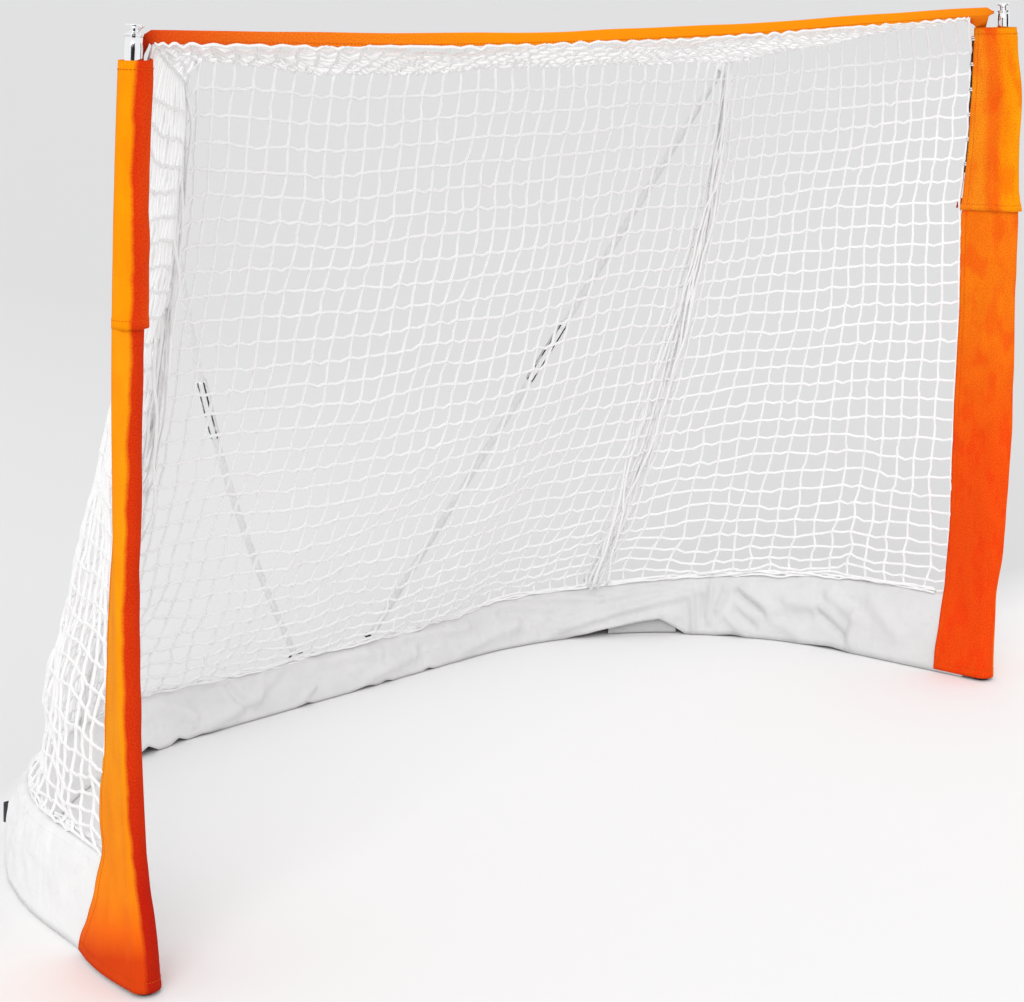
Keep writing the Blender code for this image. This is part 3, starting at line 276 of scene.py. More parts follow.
BAND_TOP = POST_HEIGHT - BAND_DROP
CUFF_TOP = BAND_TOP - BAND_TO_CUFF
CUFF_HEM = CUFF_TOP - CUFF_LENGTH
SLEEVE_TOP = CUFF_HEM + SLEEVE_UNDER_CUFF
BEND_LENGTH = BASE_BEND_RADIUS * (math.pi / 2 - BASE_TOE_IN)
LEG_START = np.array((MOUTH_WIDTH / 2, 0))
LEG_END = LEG_START + BASE_LEG * np.array((-math.sin(BASE_TOE_IN), math.cos(BASE_TOE_IN)))
BEND_CENTRE = LEG_END - BASE_BEND_RADIUS * np.array((math.cos(BASE_TOE_IN), math.sin(BASE_TOE_IN)))
BASE_DEPTH = BEND_CENTRE[1] + BASE_BEND_RADIUS
HALF_BASE_LENGTH = BASE_LEG + BEND_LENGTH + BEND_CENTRE[0]


def vec(x, y, z):
    return np.array((x, y, z), float)


def unit(v):
    return v / np.linalg.norm(v, axis=-1, keepdims=True)


def side_name(name, side):
    return f"{name}_{'left' if side < 0 else 'right'}"


def ease(x):
    x = np.clip(x, 0, 1)
    return x * x * (3 - 2 * x)


def between(a, b, share):
    return a * (1 - share) + b * share


def read(pairs, x):
    """The value at x of a smooth curve through pairs of place and value."""
    places, values = np.array(pairs, float).T
    k = np.clip(np.searchsorted(places, x) - 1, 0, len(places) - 2)
    return between(values[k], values[k + 1], ease((x - places[k]) / (places[k + 1] - places[k])))


# Smooth noise


NOISE = np.random.default_rng(11).uniform(-1, 1, (32, 32, 32))


def smooth_noise(points, scale, seed=0):
    """Values from -1 to 1 that change smoothly from point to point, over a length of about scale."""
    p = np.asarray(points, float) / scale + seed * 7.31
    base = np.floor(p).astype(int)
    part = ease(p - base)
    total = 0
    for corner in np.ndindex(2, 2, 2):
        index = (base + np.array(corner)) % 32
        weight = np.prod(np.where(np.array(corner), part, 1 - part), axis=-1)
        total = total + weight * NOISE[index[..., 0], index[..., 1], index[..., 2]]
    return total


def noise_vector(points, scale, seed=0):
    return np.stack([smooth_noise(points, scale, seed + k) for k in range(3)], axis=-1)


def cloth_warp(points):
    """The uneven hang of the cloth round the uprights, shared by all that is sewn together there."""
    points = np.asarray(points, float)
    stretched = points / np.array((1.0, 1.0, 2.2))
    broad = noise_vector(stretched, 0.075, 3) * 0.0032
    broad[..., 2] *= 0.3
    ground = np.clip(points[..., 2:3] / 0.05, 0, 1)
    return points + broad * ground


# Shared lines, as in the solids


def post_point(side, height):
    share = height / POST_HEIGHT
    inward = POST_LEAN * share - 4 * POST_BOW * share * (1 - share)
    return vec(side * (MOUTH_WIDTH / 2 - inward), 0, height)


def base_point(side, place, height=BASE_AXIS_HEIGHT):
    """A point over the base tube, place metres along it from the upright, and the tube's heading there."""
    if place <= BASE_LEG:
        heading = BASE_TOE_IN
        x, y = LEG_START + (LEG_END - LEG_START) * place / BASE_LEG
    elif place <= BASE_LEG + BEND_LENGTH:
        heading = BASE_TOE_IN + (place - BASE_LEG) / BASE_BEND_RADIUS
        x, y = BEND_CENTRE + BASE_BEND_RADIUS * np.array((math.cos(heading), math.sin(heading)))
    else:
        heading = math.pi / 2
        x, y = HALF_BASE_LENGTH - place, BASE_DEPTH
    return vec(side * x, y, height), vec(-side * math.sin(heading), math.cos(heading), 0)


def skirt_place(signed):
    """The side, and the distance from its upright, of a place measured from the middle of the rear."""
    return (1 if signed > 0 else -1), HALF_BASE_LENGTH - abs(signed)


def outward_of(side, along):
    return vec(along[1], -along[0], 0) * side


def pole_foot(side):
    return vec(side * POLE_FOOT[0], BASE_DEPTH + POLE_FOOT[1], POLE_FOOT[2])


def pole_tip(side):
    return vec(side * POLE_TIP[0], *POLE_TIP[1:])


def pole_point(side, share):
    bow = vec(side * POLE_BOW_OUT, POLE_BOW_BACK, 0)
    return pole_foot(side) * (1 - share) + pole_tip(side) * share + 4 * share * (1 - share) * bow


def pole_direction(side, share):
    bow = vec(side * POLE_BOW_OUT, POLE_BOW_BACK, 0)
    return unit(pole_tip(side) - pole_foot(side) + 4 * (1 - 2 * share) * bow)


def skirt_height(place):
    """The seam's height: tall beside the uprights, lower along the rear and lowest round the poles."""
    share = ease((place - 0.4 * BASE_LEG) / (BASE_LEG + 0.62 * BEND_LENGTH))
    from_middle = HALF_BASE_LENGTH - place
    dip = SKIRT_DIP * ease((SKIRT_DIP_START - from_middle) / (SKIRT_DIP_START - SKIRT_DIP_END))
    return SKIRT_SIDE_HEIGHT + (SKIRT_REAR_HEIGHT - SKIRT_SIDE_HEIGHT) * share - dip


def skirt_swell(place):
    """How far the outer wall stands off the tube along the bend, where the cloth is slack."""
    share = (place - SKIRT_SWELL_START) / (SKIRT_SWELL_END - SKIRT_SWELL_START)
    return SKIRT_SIDE_SWELL * math.sin(math.pi * min(max(share, 0), 1))


def skirt_half_width(place, height):
    share = np.clip((height - SKIRT_HEM) / (skirt_height(place) - SKIRT_HEM), 0, 1)
    spread = SKIRT_FRONT_SPREAD + (SKIRT_REAR_SPREAD - SKIRT_FRONT_SPREAD) * min(place / (BASE_LEG * 1.1), 1)
    return SKIRT_RIDGE + (spread - SKIRT_RIDGE) * (1 - share**SKIRT_FULLNESS)


def flap_axes(side, height):
    share = max((height - FLAP_TURN_START) / (CUFF_TOP - FLAP_TURN_START), 0)
    angle = BASE_TOE_IN + (FLAP_TOP_ANGLE - BASE_TOE_IN) * share**1.1
    return vec(-side * math.sin(angle), math.cos(angle), 0), vec(side * math.cos(angle), math.sin(angle), 0)


def sleeve_reach(height):
    share = max(height - SLEEVE_TAPER_START, 0) / (SLEEVE_TOP - SLEEVE_TAPER_START)
    return SLEEVE_REACH_LOW + (SLEEVE_REACH_TOP - SLEEVE_REACH_LOW) * share**1.7


def sleeve_edge(height, reach):
    """How far a layer's rear edge stands off the middle, where it goes round the skirt."""
    if height > SKIRT_SIDE_HEIGHT + 2 * FABRIC:
        return LAYER_GAP
    return max(skirt_half_width(reach, height) + FABRIC + 0.0010, LAYER_GAP)


def sleeve_drift(side, height):
    follow = min(max(2 - height / SKIRT_SIDE_HEIGHT, 0), 1)
    return vec(side * MOUTH_WIDTH / 2 - post_point(side, height)[0], 0, 0) * follow


def sleeve_radius(height):
    share = max(1 - height / SLEEVE_TAPER_START, 0)
    return SLEEVE_RADIUS + (SLEEVE_FOOT_RADIUS - SLEEVE_RADIUS) * share**1.5


def hang(side, height):
    """How far the cloth on an upright hangs to one side of its solid."""
    return np.array(SHIFT_DIRECTION) * read(SHIFT[side], height)


def cuff_share(height):
    return (height - CUFF_HEM) / (CUFF_TOP - CUFF_HEM)


def cuff_radius(height):
    return CUFF_HEM_RADIUS + (CUFF_TOP_RADIUS - CUFF_HEM_RADIUS) * max(cuff_share(height), 0) ** 0.5


def cuff_reach(height):
    return CUFF_HEM_REACH + (CUFF_TOP_REACH - CUFF_HEM_REACH) * cuff_share(height)


def wrap_row(side, height, radius, reaches, edges, flap_steps, drift=0.0, pouch=0.0):
    """One row of a sleeve, from the inner layer's rear edge round the upright to the outer layer's."""
    centre = post_point(side, height) + hang(side, height)
    rearward, outward = flap_axes(side, height)
    radius = radius - read(TIGHTER[side], height)
    share = np.arange(1, flap_steps + 1)[:, None] / flap_steps
    layers = []
    for reach, edge, facing in zip(reaches, edges, (-1, 1)):
        reach = reach - read(SHORTER[side], height)
        half = radius + (edge - radius) * share**1.2 + pouch * (facing > 0) * np.sin(np.pi * share)
        layers.append(centre + (rearward * reach + drift) * share + outward * facing * half)
    angle = np.pi * np.arange(FRONT_STEPS + 1)[:, None] / FRONT_STEPS
    forward = radius + read(FRONT_SLACK[side], height)
    front = centre - rearward * forward * np.sin(angle) - outward * radius * np.cos(angle)
    return np.concatenate([layers[0][::-1], front, layers[1]])


def net_front_point(side, height):
    """Where the side net meets the cloth: the rear edge of the sleeve, or of the cuff above it."""
    reach = cuff_reach(height) + TAPE_PROUD if height > CUFF_HEM else sleeve_reach(height)
    rearward, _ = flap_axes(side, height)
    reach = reach + 0.001 - read(SHORTER[side], height)
    return post_point(side, height) + hang(side, height) + sleeve_drift(side, height) + rearward * reach


def net_corner(side):
    return pole_tip(side) - vec(side * CORNER_INSET[0], *CORNER_INSET[1:])


def skirt_top_point(side, place, rise=0.0035):
    point, along = base_point(side, place, skirt_height(place) + FABRIC + rise)
    return point - outward_of(side, along) * NET_SEAM_INSET


def crease_point(side, share):
    top = net_corner(side)
    bottom = skirt_top_point(side, CREASE_PLACE)
    return top + (bottom - top) * share - vec(0, 4 * share * (1 - share) * CREASE_BELLY, 0)


def ridge_point(share):
    """The net's upper rear edge: drawn forward and down in its middle, and held up beside the left corner."""
    point = net_corner(-1) * (1 - share) + net_corner(1) * share
    bow = 4 * share * (1 - share)
    lift = RIDGE_LIFT * math.exp(-((share / 0.17) ** 2)) * ease(share / 0.02)
    return point - vec(0, bow * RIDGE_PULL, bow * RIDGE_SAG - lift)


# Meshes


def smooth_path(points, fractions):
    """A smooth line through points, read at the given fractions of each span."""
    points = np.asarray(points, float)
    before = np.concatenate([[2 * points[0] - points[1]], points[:-1]])
    after = np.concatenate([points[1:], [2 * points[-1] - points[-2]]])
    slope = (after - before) / 2
    t = np.asarray(fractions)[None, :, None]
    p0, p1 = points[:-1, None], points[1:, None]
    m0, m1 = slope[:-1, None], slope[1:, None]
    line = (
        (2 * t**3 - 3 * t**2 + 1) * p0
        + (t**3 - 2 * t**2 + t) * m0
        + (3 * t**2 - 2 * t**3) * p1
        + (t**3 - t**2) * m1
    )
    return np.concatenate([line.reshape(-1, 3), points[-1:]])


BAND_LINE = smooth_path([(x, sag, 0) for x, sag in BAND_SAG], np.arange(8) / 8)


def band_sag(x):
    """How far the band hangs below the straight line of the solid."""
    return float(np.interp(x, BAND_LINE[:, 0], BAND_LINE[:, 1]))


def roof_front(x):
    """A point of the roof's front edge, behind the band."""
    return vec(x, BAND_SETBACK, BAND_TOP - BAND_HEIGHT + 0.001 - band_sag(x))


def roof_corner(side):
    return roof_front(side * ROOF_HALF_WIDTH[side])


def show(name, data):
    thing = bpy.data.objects.new(name, data)
    bpy.context.scene.collection.objects.link(thing)
    return thing


def new_object(name, points, faces, material, uv=None, smooth=True):
    """A mesh object of points given from the mouth. uv holds one pair for each corner of each face."""
    mesh = bpy.data.meshes.new(name)
    placed = np.asarray(points, float).reshape(-1, 3) + (0, MOUTH_Y, 0)
    mesh.from_pydata(placed.tolist(), [], [list(map(int, face)) for face in faces])
    if uv is not None:
        mesh.uv_layers.new(name="cloth").data.foreach_set("uv", np.asarray(uv, np.float32).ravel())
    if smooth:
        mesh.shade_smooth()
    mesh.materials.append(material)
    return show(name, mesh)


def put(thing, body, slot, *nodes):
    """Sets what a piece moves with and hides the solids it stands for. What it is made of, the slot, is not
    used.
    """
    if nodes:
        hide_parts(*nodes)
    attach(thing, body)
    return thing


def outwards(thing):
    """Turns the faces of a closed mesh outwards."""
    work = bmesh.new()
    work.from_mesh(thing.data)
    bmesh.ops.recalc_face_normals(work, faces=work.faces)
    work.to_mesh(thing.data)
    work.free()
    return thing


def grid_of(point, firsts, seconds):
    """The points of a grid, from a function of a row's place and a column's."""
    return np.array([[point(first, second) for second in seconds] for first in firsts])


def grid_faces(rows, columns):
    j, i = np.mgrid[0 : rows - 1, 0 : columns - 1]
    corner = (j * columns + i).ravel()
    return np.stack([corner, corner + 1, corner + columns + 1, corner + columns], axis=1)


def grid_normals(grid):
    across = np.gradient(grid, axis=1)
    down = np.gradient(grid, axis=0)
    return unit(np.cross(across, down) + 1e-12)


def lengths(points, axis=0):
    """Distances along a line of points, or along the lines of a grid."""
    steps = np.linalg.norm(np.diff(points, axis=axis), axis=-1)
    return np.concatenate([0 * steps.take([0], axis), np.cumsum(steps, axis=axis)], axis=axis)


def run_length(points):
    return float(np.linalg.norm(np.diff(points, axis=0), axis=1).sum())


def grid_lengths(grid, centre_column):
    """Distances in metres along the rows from one column, and the heights."""
    across = lengths(grid, 1)
    return np.stack([across - across[:, centre_column : centre_column + 1], grid[..., 2]], axis=-1)


def cloth_object(name, grid, uv, material, thickness=CLOTH, swell=1.0):
    """Cloth of two faces and folded edges. swell thickens it by a share, as at a hem."""
    rows, columns = grid.shape[:2]
    half = grid_normals(grid) * (thickness / 2 * np.broadcast_to(swell, (rows, columns)))[..., None]
    points = np.concatenate([(grid + half).reshape(-1, 3), (grid - half).reshape(-1, 3)])
    top = grid_faces(rows, columns)
    count = rows * columns
    index = np.arange(count).reshape(rows, columns)
    rim = np.concatenate([index[0, :], index[1:, -1], index[-1, -2::-1], index[-2:0:-1, 0]])
    following = np.roll(rim, -1)
    edge = np.stack([rim + count, following + count, following, rim], axis=1)
    faces = np.concatenate([top, top[:, ::-1] + count, edge])
    uv = np.concatenate([uv.reshape(-1, 2)] * 2)
    return outwards(new_object(name, points, faces, material, uv[faces.ravel()]))


def around_faces(low, high):
    """Faces between two rings of point numbers, or between many such pairs."""
    return np.stack([low, np.roll(low, -1, 1), np.roll(high, -1, 1), high], axis=-1).reshape(-1, 4)


class Bundle:
    """Many small solids gathered into one mesh."""

    def __init__(self):
        self.points, self.faces, self.uv, self.count = [], [], [], 0

    def add(self, points, faces, uv):
        self.points.append(points)
        self.faces.extend((np.asarray(face) + self.count).tolist() for face in faces)
        self.uv.append(uv)
        self.count += len(points)

    def tube(self, path, radius, sides=5):
        """A round strand along a path, closed at its ends."""
        path = np.asarray(path, float)
        radius = np.broadcast_to(np.asarray(radius, float), len(path))
        along = unit(np.gradient(path, axis=0))
        helper = np.eye(3)[int(np.argmin(np.abs(along.mean(axis=0))))]
        first = unit(helper - along * (along @ helper)[:, None])
        second = np.cross(along, first)
        angle = (2 * np.pi * np.arange(sides) / sides)[None, :, None]
        ring = np.cos(angle) * first[:, None] + np.sin(angle) * second[:, None]
        j, i = (part.ravel() for part in np.mgrid[0 : len(path) - 1, 0:sides])
        u = np.stack([i, i + 1, i + 1, i], axis=1) * (2 * np.pi * radius.mean() / sides)
        v = lengths(path)[np.stack([j, j, j + 1, j + 1], axis=1)]
        uv = np.concatenate([np.stack([u, v], axis=-1).reshape(-1, 2), np.zeros((2 * sides, 2))])
        index = np.arange(len(path) * sides).reshape(-1, sides)
        faces = [*around_faces(index[:-1], index[1:]), index[0][::-1], index[-1]]
        self.add((path[:, None] + radius[:, None, None] * ring).reshape(-1, 3), faces, uv)

    def turned(self, start, axis, profile, sides, ring=False):
        """A solid turned on an axis from pairs of height and radius, which for a ring are a closed loop."""
        first = unit(np.cross(axis, np.eye(3)[int(np.argmin(np.abs(axis)))]))
        second = np.cross(axis, first)
        angle = 2 * np.pi * np.arange(sides) / sides
        circle = np.cos(angle)[:, None] * first + np.sin(angle)[:, None] * second
        points = np.concatenate([start + axis * height + circle * radius for height, radius in profile])
        index = np.arange(len(points)).reshape(-1, sides)
        if ring:
            faces = [*around_faces(index, np.roll(index, -1, 0))]
        else:
            faces = [index[0][::-1], *around_faces(index[:-1], index[1:]), index[-1]]
        self.add(points, faces, np.zeros((sum(map(len, faces)), 2)))

    def stitches(self, path, lift, pitch=0.0045, length=0.0032, radius=0.0005):
        """A row of thread stitches lying along a path, raised by lift."""
        path = np.asarray(path, float) + lift
        reach = lengths(path)
        for k in range(int(reach[-1] / pitch)):
            at = (k + 0.5) * pitch + np.array((-0.5, -0.2, 0.2, 0.5)) * length
            line = np.stack([np.interp(at, reach, path[:, axis]) for axis in range(3)], axis=1)
            self.tube(line, radius * np.array((0.35, 1, 1, 0.35)), 4)

    def both_sides(self, path, normals, lift, **sizes):
        """Stitches on both faces of a cloth."""
        for facing in (-1, 1):
            self.stitches(path, facing * normals * lift, **sizes)

    def finish(self, name, material):
        uv = np.concatenate(self.uv)
        return outwards(new_object(name, np.concatenate(self.points), self.faces, material, uv))


# Materials


def add_node(tree, kind, values=None, **settings):
    """A node with its settings, and its inputs linked where a value is another node's output."""
    node = tree.nodes.new(kind)
    for key, value in settings.items():
        setattr(node, key, value)
    for key, value in (values or {}).items():
        if isinstance(value, bpy.types.NodeSocket):
            tree.links.new(value, node.inputs[key])
        else:
            node.inputs[key].default_value = value
    return node


class Finish:
    """A Principled material and short calls that add its nodes."""

    def __init__(self, name, colour, roughness, metallic=0.0, **sockets):
        self.material = bpy.data.materials.new(name)
        self.material.use_nodes = True
        self.material.diffuse_color = (*colour, 1)
        self.tree = self.material.node_tree
        self.shader = self.tree.nodes["Principled BSDF"]
        values = {"Base_Color": (*colour, 1), "Roughness": roughness, "Metallic": metallic, **sockets}
        for socket, value in values.items():
            self.shader.inputs[socket.replace("_", " ")].default_value = value

    def node(self, kind, values=None, **settings):
        return add_node(self.tree, kind, values, **settings)

    def cloth_uv(self):
        return self.node("ShaderNodeUVMap", uv_map="cloth").outputs["UV"]

    def place(self):
        return self.node("ShaderNodeTexCoord").outputs["Object"]

    def noise(self, where, scale, detail=2.0, stretch=None):
        if stretch:
            where = self.node("ShaderNodeMapping", {"Vector": where, "Scale": stretch}).outputs["Vector"]
        values = {"Vector": where, "Scale": scale, "Detail": detail}
        return self.node("ShaderNodeTexNoise", values).outputs["Fac"]

    def waves(self, where, period, direction):
        """Bands that repeat each period along one direction."""
        values = {"Vector": where, "Scale": 2 * math.pi / (20 * period)}
        return self.node("ShaderNodeTexWave", values, bands_direction=direction).outputs["Fac"]

    def math(self, operation, a, b=0.0):
        return self.node("ShaderNodeMath", {0: a, 1: b}, operation=operation).outputs[0]

    def span(self, value, low, high, to_low=0.0, to_high=1.0):
        values = {"Value": value, "From Min": low, "From Max": high, "To Min": to_low, "To Max": to_high}
        return self.node("ShaderNodeMapRange", values).outputs["Result"]

    def mix(self, factor, a, b, blend="MIX"):
        """Two colours mixed. Inputs 0, 6 and 7 are the factor and the colours, and output 2 is the colour."""
        a, b = ((*colour, 1) if isinstance(colour, tuple) else colour for colour in (a, b))
        values = {0: factor, 6: a, 7: b}
        return self.node("ShaderNodeMix", values, data_type="RGBA", blend_type=blend).outputs[2]

    def ramp(self, value, stops):
        """Colours that change with a value, from pairs of value and colour."""
        low, high = stops[0][0], stops[-1][0]
        node = self.node("ShaderNodeValToRGB", {"Fac": self.span(value, low, high)})
        elements = node.color_ramp.elements
        elements.remove(elements[1])
        for k, (place, colour) in enumerate(stops):
            at = (place - low) / (high - low)
            element = elements.new(at) if k else elements[0]
            element.position = at
            element.color = (*colour, 1)
        return node.outputs["Color"]

    def parts(self, vector):
        return self.node("ShaderNodeSeparateXYZ", {0: vector}).outputs

    def colour(self, output):
        self.tree.links.new(output, self.shader.inputs["Base Color"])

    def roughness(self, value, low, high):
        self.tree.links.new(self.span(value, 0, 1, low, high), self.shader.inputs["Roughness"])

    def bump(self, height, distance, strength):
        """A bump on top of those already there."""
        values = {"Height": height, "Distance": distance, "Strength": strength}
        normal = self.shader.inputs["Normal"]
        if normal.is_linked:
            values["Normal"] = normal.links[0].from_socket
        self.tree.links.new(self.node("ShaderNodeBump", values).outputs["Normal"], normal)

    def weave(self, period, depth):
        """An over-and-under weave as bump."""
        uv = self.cloth_uv()
        crossed = self.math("MULTIPLY", self.waves(uv, period, "X"), self.waves(uv, period, "Y"))
        self.bump(crossed, depth, 0.6)


def dyed_cloth(name, colour, depth, *creases):
    """Dyed polyester with small creases and a coarse grain, and the place and grain for its colours."""
    f = Finish(
        name, colour, 0.88, Specular_IOR_Level=0.06, Sheen_Weight=0.01, Sheen_Roughness=0.4,
        Sheen_Tint=(1.0, 0.45, 0.15, 1.0),
    )
    uv = f.cloth_uv()
    grain = f.noise(uv, 430.0, 3.0)
    f.roughness(grain, 0.76, 0.93)
    f.bump(f.noise(uv, *creases), depth, 0.6)
    f.weave(0.0011, 0.00022)
    return f, uv, grain


def orange_cloth(name, levels, fold=(0.0, 0.0, 0.0), stains=0.0, tilt=0.0):
    """Orange cloth with painted shade: its redder, darker colours stand for where the cloth is in shade, and
    its speckle is strongest there.

    levels pair a height with the colours across the cloth, which runs from the inner layer (negative)
    round the front to the outer layer. fold moves those colours, and so the edge of the painted shade, at the
    top, the middle and the foot, and tilt lets the lower colours start lower towards the outer layer's rear
    edge.
    """
    f, uv, grain = dyed_cloth(name, levels[0][1][-1][1], 0.0016, 60.0, 3.0, (1, 0.35, 1))
    across, height, _ = f.parts(uv)
    top, middle, foot = fold
    above = f.span(height, 0.85, 0.35, top, middle)
    below = f.span(height, 0.0, 0.35, foot, middle)
    wander = f.span(f.noise(uv, 22.0), 0.25, 0.75, -0.0022, 0.0022)
    place = f.math("ADD", f.math("SUBTRACT", across, f.math("MINIMUM", above, below)), wander)
    tilted = f.math("ADD", height, f.math("MULTIPLY", f.math("MAXIMUM", across), tilt))
    shade = f.ramp(place, levels[0][1])
    for (high, _), (low, stops) in zip(levels, levels[1:]):
        shade = f.mix(f.span(tilted, high, low), shade, f.ramp(place, stops))
    spots = f.mix(f.span(grain, 0.34, 0.66), (0.80, 0.62, 0.70), (1.10, 1.28, 1.2))
    redness = f.span(place, -0.004, 0.004, 1.0, 0.22)
    shade = f.mix(f.math("MULTIPLY", redness, 0.8), shade, spots, "MULTIPLY")
    patches = f.span(f.noise(uv, 30.0, 3.0, (1, 0.5, 1)), 0.3, 0.7)
    shade = f.mix(0.7, shade, f.mix(patches, (0.93, 0.84, 0.9), (1.03, 1.12, 1.05)), "MULTIPLY")
    if stains:
        blots = f.span(f.noise(uv, 34.0, 5.0, (1, 0.42, 1)), 0.50, 0.60)
        shade = f.mix(f.math("MULTIPLY", blots, stains), shade, (0.98, 0.55, 0.8), "MULTIPLY")
    f.colour(shade)
    return f.material


def band_cloth():
    """The top band: plain orange, with painted shade, dark red, at both ends where they turn down into the
    cuffs.
    """
    f, uv, grain = dyed_cloth("top_band_cloth", (1.0, 0.27, 0.005), 0.0012, 70.0, 2.0, (0.4, 1, 1))
    across = f.parts(uv)[0]
    stops = (
        (-0.92, (0.42, 0.02, 0.004)), (-0.875, (0.50, 0.03, 0.004)), (-0.852, (0.76, 0.075, 0.007)),
        (-0.72, (0.86, 0.15, 0.01)), (-0.55, (0.94, 0.22, 0.008)), (-0.30, (0.98, 0.295, 0.002)),
        (0.60, (0.98, 0.30, 0.002)), (0.84, (0.93, 0.25, 0.004)), (0.915, (0.88, 0.18, 0.005)),
        (0.930, (0.62, 0.06, 0.005)), (0.950, (0.42, 0.02, 0.004)),
    )
    spots = f.mix(f.span(grain, 0.34, 0.66), (0.84, 0.68, 0.75), (1.08, 1.22, 1.1))
    f.colour(f.mix(f.span(across, -0.6, -0.2, 0.8, 0.25), f.ramp(across, stops), spots, "MULTIPLY"))
    return f.material


def finely_woven(f, uv, rough, depth, strength):
    """Adds the grain, the small wrinkles and the weave of a white cloth."""
    f.roughness(f.noise(uv, 300.0), *rough)
    f.bump(f.noise(uv, 45.0, 4.0), depth, strength)
    f.weave(0.0009, 0.00016)
    return f.material


def white_cloth(name, value):
    f = Finish(name, (value,) * 3, 0.75, Sheen_Weight=0.04, Sheen_Roughness=0.5)
    uv = f.cloth_uv()
    shade = f.span(f.noise(uv, 14.0, 4.0), 0.3, 0.7)
    f.colour(f.mix(shade, (value * 0.955, value * 0.96, value * 0.965), (value, value, value * 0.995)))
    return finely_woven(f, uv, (0.66, 0.86), 0.0016, 0.5)


def skirt_cloth():
    """White cloth. The inner wall is painted in shade, greyer than the outer wall, and darker patches are
    painted crumple shade. v is negative on the inner wall.
    """
    sheen = {"Specular_IOR_Level": 0.2, "Sheen_Weight": 0.02, "Sheen_Roughness": 0.5}
    f = Finish("white_skirt_cloth", (0.87, 0.87, 0.87), 0.8, **sheen)
    uv = f.cloth_uv()
    across, down, _ = f.parts(uv)
    # Painted shade: the inner wall greyer than the outer, by amounts that change along the skirt.
    inner_wall_shade = ((-1.4, 0.90), (-0.5, 0.90), (-0.3, 0.80), (0.2, 0.77), (0.7, 0.74), (1.4, 0.73))
    inner = f.ramp(across, [(x, (value, value, value * 1.005)) for x, value in inner_wall_shade])
    base = f.mix(f.span(down, -0.003, 0.003), inner, (0.87, 0.87, 0.872))
    shade = f.span(f.noise(uv, 14.0, 4.0), 0.3, 0.7)
    plain_tone = f.mix(shade, (0.955, 0.957, 0.962), (1.02, 1.02, 1.015))
    # Painted shade of crumples, as darker patches.
    crumple_shade = f.span(f.noise(uv, 42.0, 5.0, (1, 1.6, 1)), 0.56, 0.72)
    f.colour(f.mix(1.0, base, f.mix(crumple_shade, plain_tone, (0.945, 0.945, 0.95)), "MULTIPLY"))
    return finely_woven(f, uv, (0.7, 0.88), 0.0022, 0.6)


def net_cord():
    """Braided polyester cord, with the slanted strands of its braid."""
    f = Finish("white_braided_cord", (0.95, 0.95, 0.95), 0.8, Sheen_Weight=0.6, Sheen_Roughness=0.5)
    across, along, _ = f.parts(f.cloth_uv())
    lean = f.math("MULTIPLY", across, 0.9)
    slants = {"X": f.math("ADD", along, lean), "Y": f.math("SUBTRACT", along, lean)}
    slant = f.node("ShaderNodeCombineXYZ", slants).outputs[0]
    braid = f.math("MAXIMUM", f.waves(slant, 0.0032, "X"), f.waves(slant, 0.0032, "Y"))
    f.bump(braid, 0.0003, 0.45)
    soil = f.noise(f.place(), 40.0, 3.0)
    shade = f.mix(f.span(soil, 0.35, 0.7), (0.93, 0.93, 0.932), (0.97, 0.97, 0.97))
    # Darker in the braid's grooves: painted shade.
    f.colour(f.mix(f.span(braid, 0.3, 0.9), (0.89, 0.892, 0.895), shade))
    f.roughness(soil, 0.6, 0.8)
    return f.material


def chrome_plate():
    """Chromed tube with fine polishing lines along it and a few dull patches."""
    f = Finish("chrome_plate", (0.92, 0.93, 0.94), 0.10, 1.0)
    lines = f.noise(f.place(), 900.0, 2.0, (1, 1, 0.02))
    cloud = f.noise(f.place(), 35.0, 4.0)
    f.roughness(f.math("MULTIPLY", lines, cloud), 0.05, 0.3)
    f.colour(f.mix(f.span(cloud, 0.35, 0.75), (0.88, 0.89, 0.91), (0.95, 0.955, 0.96)))
    f.bump(lines, 0.00004, 0.4)
    return f.material


def ferrule_plate():
    """Plated ferrule, split along its length by slots painted near black: painted shade inside the slots."""
    f = Finish("slotted_ferrule_plate", (0.82, 0.83, 0.85), 0.4, 0.45)
    uv = f.cloth_uv()
    slots = f.waves(uv, 2 * math.pi * (POLE_RADIUS + FERRULE_WALL) / FERRULE_SLOTS, "X")
    broken = f.noise(uv, 60.0, 2.0, (1, 0.6, 1))
    cut = f.math("MULTIPLY", f.span(slots, 0.78, 0.9), f.span(broken, 0.38, 0.5))
    f.colour(f.mix(cut, (0.90, 0.905, 0.91), (0.03, 0.03, 0.035)))
    f.roughness(cut, 0.42, 0.7)
    f.bump(f.math("SUBTRACT", 1.0, cut), 0.0006, 0.8)
    return f.material


def grained(f, where, noise, tones, rough, depth, strength, spread=(0.3, 0.7)):
    """Adds a grain that shows in the colour, the roughness and the bump."""
    grain = f.noise(where, *noise)
    f.colour(f.mix(f.span(grain, *spread), *tones))
    f.roughness(grain, *rough)
    f.bump(grain, depth, strength)
    return f.material


def bright_steel():
    f = Finish("spring_steel", (0.60, 0.61, 0.63), 0.3, 1.0)
    tones = ((0.50, 0.51, 0.54), (0.68, 0.69, 0.71))
    return grained(f, f.place(), (700.0, 3.0), tones, (0.2, 0.42), 0.00003, 0.5, (0.0, 1.0))


